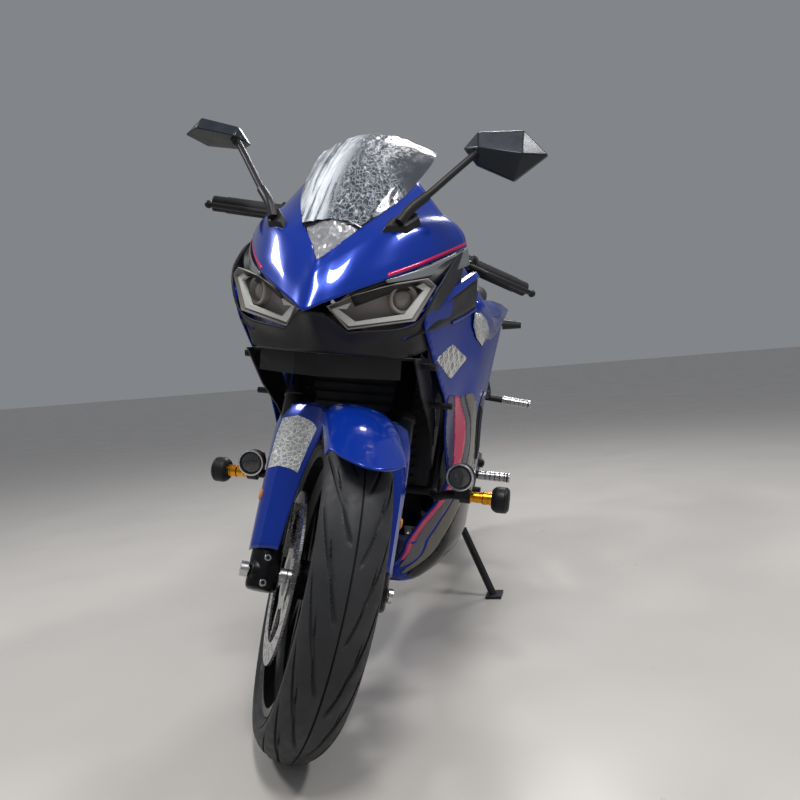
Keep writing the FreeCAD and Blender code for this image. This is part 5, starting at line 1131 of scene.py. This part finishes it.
# Crash bar with fog lamps and sliders, on the upright bike; the left lamp sits higher than the right one
BAR_X = 1085.0
BAR_Z = 412.0
SLIDER_X = 1126.0
SLIDER_Z = 418.0
FOG_HEIGHTS = {1: 461.0, -1: 446.0}
BAR_RADIUS = 9


def crash_bar():
    """Black tube, gold sliders with black pucks, and round fog lamps on brackets."""
    centre_tube = [(BAR_X, -152, BAR_Z), (BAR_X, -60, BAR_Z), (BAR_X, 60, BAR_Z), (BAR_X, 152, BAR_Z)]
    forms = [tube_form(centre_tube, BAR_RADIUS, 3, 20)]
    for side in (-1, 1):
        run = [(1012, 155, 630), (1046, 157, 540), (1074, 153, 446), (BAR_X, 153, BAR_Z), (1104, 166, 408),
               (SLIDER_X, 194, SLIDER_Z), (SLIDER_X, 236, SLIDER_Z)]
        forms.append(tube_form(on_side(run, side), BAR_RADIUS, 6, 20))
        forms.append(turned([(0, 12), (1, 15), (9, 15), (10, 12)], (1010, 150 * side, 640), (0, side, 0), 30))
        forms.append(turned([(0, 12), (1, 14), (21, 14), (22, 12)], (SLIDER_X, 214 * side, SLIDER_Z),
                            (0, side, 0), 30))
    bar = add_piece("crash_bar_tube", *joined(forms), "frame_black", 40.0)
    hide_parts("crash_bar")
    for side, name in SIDES:
        out = (0, side, 0)
        base = (SLIDER_X, 234 * side, SLIDER_Z)
        gold = [(0, 9), (0, 10), (1, 10.8), (7, 10.8), (8, 9.8), (9, 10.8), (25, 10.8), (26, 12.2),
                (27, 12.9), (36, 12.9), (37, 11.8), (39, 11.8), (40, 12.9), (48, 12.9), (49, 12)]
        lathe("gold_slider_" + name, gold, base, out, "gold", 40, 25.0)
        puck = [(44, 18), (47, 22), (52, 25), (55, 26), (69, 26), (70, 25.2), (71, 26), (74, 25), (77, 21.5),
                (78, 20), (76, 12), (76, 10), (71, 9.5), (71, 0.5)]
        lathe("slider_puck_" + name, puck, base, out, "black_plastic", 48)
        bolt = [(66, 8), (73, 8), (74, 7), (74, 4), (70, 3.8), (70, 0.5)]
        lathe("puck_bolt_" + name, bolt, base, out, "steel", 24)
        z = FOG_HEIGHTS[side]
        forward = (1, -0.08 * side, 0)
        foot = Vector((SLIDER_X, 219 * side, z))
        body = [(-4, 12), (-3, 16), (4, 21.5), (8, 23.5), (12, 24), (12.5, 22.6), (15, 22.6), (15.5, 24),
                (18, 24), (18.5, 22.6), (21, 22.6), (21.5, 24), (28, 24), (29, 26), (30, 26.4), (38, 26.4)]
        lathe("fog_body_" + name, body, foot, forward, "black_plastic", 48, 25.0)
        rim = [(36, 26.5), (37, 27), (40.5, 27), (42, 26.2), (42.4, 25), (42, 23.6), (39, 23), (35, 22.6)]
        lathe("fog_ring_" + name, rim, foot, forward, "bright_ring", 56)
        bowl = [(34.5, 23), (36, 22), (27, 15), (21, 8), (19, 2)]
        lathe("fog_bowl_" + name, bowl, foot, forward, "fog_bowl", 40, 60.0)
        glass = [(34, 22.6)]
        for k in range(9):
            turn = math.pi / 2 * k / 8
            glass.append((36 + 4.5 * math.sin(turn), max(0.2, 22.4 * math.cos(turn))))
        lathe("fog_glass_" + name, glass, foot, forward, "fog_glass", 40, 60.0)
        plate = rounded([(SLIDER_X - 14, z - 34), (SLIDER_X + 14, z - 34), (SLIDER_X + 17, z + 6),
                         (SLIDER_X + 8, z + 17), (SLIDER_X - 8, z + 17), (SLIDER_X - 17, z + 6)], 5.0)
        block = rounded([(SLIDER_X - 15, SLIDER_Z - 6), (SLIDER_X + 15, SLIDER_Z - 6),
                         (SLIDER_X + 15, z - 20), (SLIDER_X - 15, z - 20)], 4.0)
        arms = [prism(plate, y * side - 1.5, y * side + 1.5) for y in (207, 231)]
        arms.append(prism(block, *sorted((205 * side, 233 * side))))
        add_piece("fog_bracket_" + name, *joined(arms), "frame_black", 30.0)


# Tank and seats: (x, top z, shoulder half width, z, waist half width, z, foot half width, z)
TANK_TABLE = [
    (626.4, 808, 60, 798, 70, 778, 68, 748),
    (664, 868, 84, 850, 112, 800, 98, 748),
    (740, 928, 112, 905, 160, 838, 126, 748),
    (850, 958, 130, 935, 180, 868, 140, 782),
    (960, 950, 122, 930, 168, 878, 132, 806),
    (1028, 918, 96, 900, 126, 868, 104, 838),
]
RIDER_SEAT_TABLE = [
    (626, 796, 60, 790, 74, 772, 72, 728),
    (540, 790, 92, 783, 112, 762, 104, 728),
    (430, 784, 118, 776, 138, 756, 126, 728),
    (300, 796, 126, 786, 142, 764, 128, 734),
    (204, 838, 104, 828, 120, 800, 108, 740),
]
PASSENGER_SEAT_TABLE = [
    (176, 868, 92, 858, 106, 838, 100, 812),
    (110, 890, 102, 880, 112, 860, 104, 826),
    (-30, 904, 92, 896, 102, 876, 92, 846),
    (-120, 902, 66, 896, 74, 884, 68, 858),
]


def half_section(x, top, shoulder, shoulder_z, waist, waist_z, foot, foot_z):
    """Half a section across the bike, from the middle of the top round to the foot."""
    return [(x, 0, top), (x, shoulder * 0.55, top - (top - shoulder_z) * 0.3), (x, shoulder, shoulder_z),
            (x, waist, waist_z), (x, foot, foot_z)]


def end_rows(rows, depth):
    """Rows with a closing end at the last one."""
    last = [Vector(p) for p in rows[-1]]
    middle = sum(last, Vector()) / len(last)
    out = Vector((depth, 0, 0))
    return rows + [[p.lerp(middle, 0.7) + out for p in last], [middle + out] * len(last)]


def closed_ends(rows):
    """Rows from back to front, with a closing end at both."""
    return end_rows(end_rows(rows[::-1], -3)[::-1], 3)


def tank():
    """Fuel tank with a sharp shoulder line along each side."""
    rows = both_halves([half_section(*row) for row in TANK_TABLE])
    rows = closed_ends(smooth_grid(rows, 6, sharp_columns=(2, 6)))
    piece = skin("tank_skin", rows, "blue_paint", (850, 0, 820), 0.0, 32.0)
    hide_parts("fuel_tank")


# Mirrors: the head's corners (inner, upper inner, upper outer, tip, bottom, lower inner) and ridge points
MIRROR_HEADS = {
    "left": [(1270, 192, 1064), (1275, 216, 1092), (1275, 296, 1096), (1264, 340, 1058), (1282, 286, 1008),
             (1280, 218, 1034), (1304, 299, 1050), (1300, 222, 1060)],
    "right": [(1262, -216, 1066), (1280, -231, 1092), (1286, -302, 1106), (1262, -345, 1080),
              (1232, -318, 1068), (1236, -244, 1062), (1300, -306, 1084), (1298, -230, 1072)],
}
MIRROR_FACES = [(1, 2, 6, 7), (2, 3, 6), (6, 3, 4), (7, 6, 4, 5), (0, 1, 7), (0, 7, 5)]
MIRROR_STALKS = {
    "left": [(1384, 112, 916), (1372, 126, 940), (1350, 148, 966), (1296, 212, 1044), (1284, 224, 1056)],
    "right": [(1384, -112, 916), (1374, -124, 942), (1352, -148, 968), (1300, -208, 1040),
              (1278, -234, 1070)],
}
MIRROR_DEPTH = 14
MIRROR_PAD = [(1402, 84, 896), (1384, 88, 914), (1356, 108, 932), (1334, 134, 938), (1340, 142, 922),
              (1374, 124, 900)]


def rounded_edges(piece, width):
    bevel = piece.modifiers.new("edges", "BEVEL")
    bevel.width = width
    bevel.segments = 3


def mirrors():
    """Faceted mirror heads on slim stalks with triangular base pads."""
    for side, name in SIDES:
        corners = [Vector(p) for p in MIRROR_HEADS[name]]
        rim = corners[:6]
        middle = sum(rim, Vector()) / 6
        back = [p + Vector((-MIRROR_DEPTH, 0, 0)) for p in rim]
        faces = MIRROR_FACES + ring_faces(6, 0, 8) + [tuple(range(8, 14))]
        head = add_piece("mirror_head_" + name, corners + back, faces, "mirror_shell", 12.0)
        shape = bmesh.new()
        shape.from_mesh(head.data)
        bmesh.ops.recalc_face_normals(shape, faces=shape.faces)
        shape.to_mesh(head.data)
        shape.free()
        rounded_edges(head, 0.0022)
        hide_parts("mirror_" + name)
        glass = [middle + (p - middle) * 0.9 + Vector((-0.7, 0, 0)) for p in back]
        faces = [tuple(range(6)), tuple(range(6, 12))] + ring_faces(6)
        add_piece("mirror_glass_" + name, glass + [p + Vector((1.2, 0, 0)) for p in glass], faces,
                  "mirror_glass", 20.0)
        stalk = MIRROR_STALKS[name]
        forms = [tube_form(stalk, 6.2, 6, 16), tube_form(stalk[:3], 8.6, 5, 16)]
        end = Vector(stalk[-1])
        way = end - Vector(stalk[-2])
        forms.append(turned([(0, 7), (2, 10), (14, 10), (16, 7)], end - way.normalized() * 8, way, 24))
        add_piece("mirror_stalk_" + name, *joined(forms), "black_plastic", 40.0)
        pad = on_side(MIRROR_PAD, side)
        lift = Vector((0.55, 0.25 * side, 0.8)).normalized()
        top = [p.lerp(sum(pad, Vector()) / 6, 0.22) + lift * 9 for p in pad]
        low = [p - lift * 6 for p in pad]
        faces = ring_faces(6) + [tuple(range(6, 12)), tuple(reversed(range(6)))]
        base = add_piece("mirror_pad_" + name, low + top, faces, "black_plastic", 20.0)
        rounded_edges(base, 0.003)


def fork_legs():
    """Fork legs with their seals, axle feet and pinch bolts."""
    for side, name in SIDES:
        y = 97.0 * side
        leg = [(-32, 16), (-31, 22), (-28, 25.5), (-22, 27), (36, 27), (42, 25.6), (246, 25.6), (252, 27),
               (320, 27), (322, 28.8), (335, 28.8), (338, 25), (339, 20.6), (698, 20.6), (700, 15), (708, 15),
               (709, 12)]
        foot = [(0, 20), (1.5, 24), (4, 25.5), (40, 25.5), (42.5, 24), (44, 20)]
        forms = [turned(leg, (0, y, 0), (0, 0, 1), 48),
                 turned(foot, (0, y - 22 * side, 0), (0, side, 0), 48)]
        piece = add_piece("fork_tube_" + name, *joined(forms), "black_alloy", 32.0, ON_FORK)
        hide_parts("fork_leg_" + name)
        bolt = [(0, 6.5), (6, 6.5), (7, 5.5), (7, 3.2), (3, 3), (3, 0.5)]
        bolts = [turned(bolt, (20, y, z), (1, 0, 0), 20) for z in (-20, 22)]
        add_piece("pinch_bolts_" + name, *joined(bolts), "steel", 30.0, ON_FORK)


# route of the brake hose in the fork's frame
HOSE_ROUTE = [(-96, -80, 142), (-94, -88, 186), (-80, -102, 238), (-64, -112, 290), (-52, -119, 344),
              (-44, -124, 400), (-39, -129, 456), (-33, -136, 512), (-26, -144, 568), (-17, -150, 624),
              (-6, -153, 682)]


def brake_hose():
    """Hose from the caliper up behind the right fork leg to the brake's master cylinder."""
    curve = bpy.data.curves.new("brake_hose", "CURVE")
    curve.dimensions = "3D"
    spline = curve.splines.new("NURBS")
    spline.points.add(len(HOSE_ROUTE) - 1)
    for point, place in zip(spline.points, HOSE_ROUTE):
        point.co = (*(FORK @ Vector(place)), 1)
    spline.order_u = 3
    spline.use_endpoint_u = True
    curve.bevel_depth = 0.0035
    curve.bevel_resolution = 4
    curve.use_fill_caps = True
    curve.materials.append(LOOK["rubber"])
    piece = bpy.data.objects.new("brake_hose", curve)
    bpy.context.scene.collection.objects.link(piece)
    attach(piece, "steering")


def pegs():
    """Ribbed sleeves on the rider's and the passenger's pegs."""
    for side, name in SIDES:
        for title, start, way, length, radius in (
                ("rider_peg_", (436, 172 * side, 347), (0, side, 0), 88, 13.3),
                ("passenger_peg_", (256, 206 * side, 550.7), (0, 142 * side, -13), 85, 12.3)):
            profile = [(0, radius - 3), (0.5, radius - 1)]
            for k in range(12):
                at = 2 + (length - 8) / 12 * k
                profile += [(at, radius), (at + 3.4, radius), (at + 4.2, radius - 1.1),
                            (at + 5.8, radius - 1.1)]
            profile += [(length - 4, radius), (length - 1, radius), (length, radius - 2), (length, 2)]
            lathe(title + "sleeve_" + name, profile, start, way, "alloy", 32, 25.0)


# Stage

def pale_floor():
    """Pale floor that runs on far beyond the bike."""
    f = Finish("floor_pale", (0.50, 0.475, 0.445), 0.32)
    f.gloss(f.noise(3.0, 4.0), 0.26, 0.4)
    bpy.ops.mesh.primitive_plane_add(size=60, location=(0, 0, 0))
    floor = bpy.context.object
    floor.name = "studio_floor"
    floor.data.materials.append(f.material)


# colour of the air where it lights things, and where it is seen or mirrored
AIR_LIT = (0.30, 0.31, 0.33, 1)
AIR_SEEN = (0.225, 0.235, 0.25, 1)


def studio_light():
    """Grey air and four strips of light under the ceiling."""
    world = bpy.data.worlds.new("studio_air")
    bpy.context.scene.world = world
    world.use_nodes = True
    tree = world.node_tree
    background = tree.nodes["Background"]
    path = tree.nodes.new("ShaderNodeLightPath")
    seen = path.outputs["Is Camera Ray"]
    for ray in ("Is Glossy Ray", "Is Transmission Ray"):
        either = tree.nodes.new("ShaderNodeMath")
        either.operation = "MAXIMUM"
        tree.links.new(seen, either.inputs[0])
        tree.links.new(path.outputs[ray], either.inputs[1])
        seen = either.outputs[0]
    air = tree.nodes.new("ShaderNodeMix")
    air.data_type = "RGBA"
    air.inputs[6].default_value = AIR_LIT
    air.inputs[7].default_value = AIR_SEEN
    tree.links.new(seen, air.inputs[0])
    tree.links.new(air.outputs[2], background.inputs["Color"])
    background.inputs["Strength"].default_value = 1.0

    def lamp(name, place, target, size, power):
        light = bpy.data.lights.new(name, "AREA")
        light.shape = "RECTANGLE"
        light.size, light.size_y = size
        light.energy = power
        holder = bpy.data.objects.new(name, light)
        bpy.context.scene.collection.objects.link(holder)
        holder.location = place
        aim = Vector(target) - Vector(place)
        holder.rotation_euler = aim.to_track_quat("-Z", "Y").to_euler()

    lamp("ceiling_strip_front", (1.9, 0.5, 3.0), (0.6, 0, 0.5), (0.36, 1.1), 54)
    lamp("ceiling_strip_left", (0.4, 2.2, 3.0), (0.1, 0, 0.5), (1.1, 0.34), 48)
    lamp("ceiling_strip_right", (0.5, -2.3, 3.0), (0.1, 0, 0.5), (1.1, 0.34), 48)
    lamp("ceiling_strip_rear", (-2.3, 0.2, 3.0), (-0.3, 0, 0.5), (0.5, 1.3), 46)


def photograph_camera():
    """Camera at the photograph's place, with its angle of view."""
    data = bpy.data.cameras.new("photograph")
    data.sensor_width = 36.0
    data.lens = FOCAL_PIXELS / PICTURE_SIDE * data.sensor_width
    data.clip_start = 0.05
    data.clip_end = 200
    camera = bpy.data.objects.new("photograph", data)
    bpy.context.scene.collection.objects.link(camera)
    back = -CAMERA_AIM.normalized()
    right = (CAMERA_RIGHT - back * CAMERA_RIGHT.dot(back)).normalized()
    up = back.cross(right)
    turn = Matrix((right, up, back)).transposed().to_4x4()
    camera.matrix_world = Matrix.Translation(CAMERA_PLACE) @ turn
    bpy.context.scene.camera = camera


def main():
    scene = bpy.context.scene
    scene.view_settings.view_transform = "Standard"
    photograph_camera()
    pale_floor()
    studio_light()
    dress_frame()
    LOOK.update(extra_finishes())
    upper_fairing()
    lamps()
    screen_film()
    side_fairings()
    front_mudguard()
    wheels()
    crash_bar()
    tank()
    side_details()
    mirrors()
    pegs()
    fork_legs()
    brake_hose()
    padded_seat("rider_cushion", "rider_seat", RIDER_SEAT_TABLE)
    padded_seat("passenger_cushion", "passenger_seat", PASSENGER_SEAT_TABLE)


main()
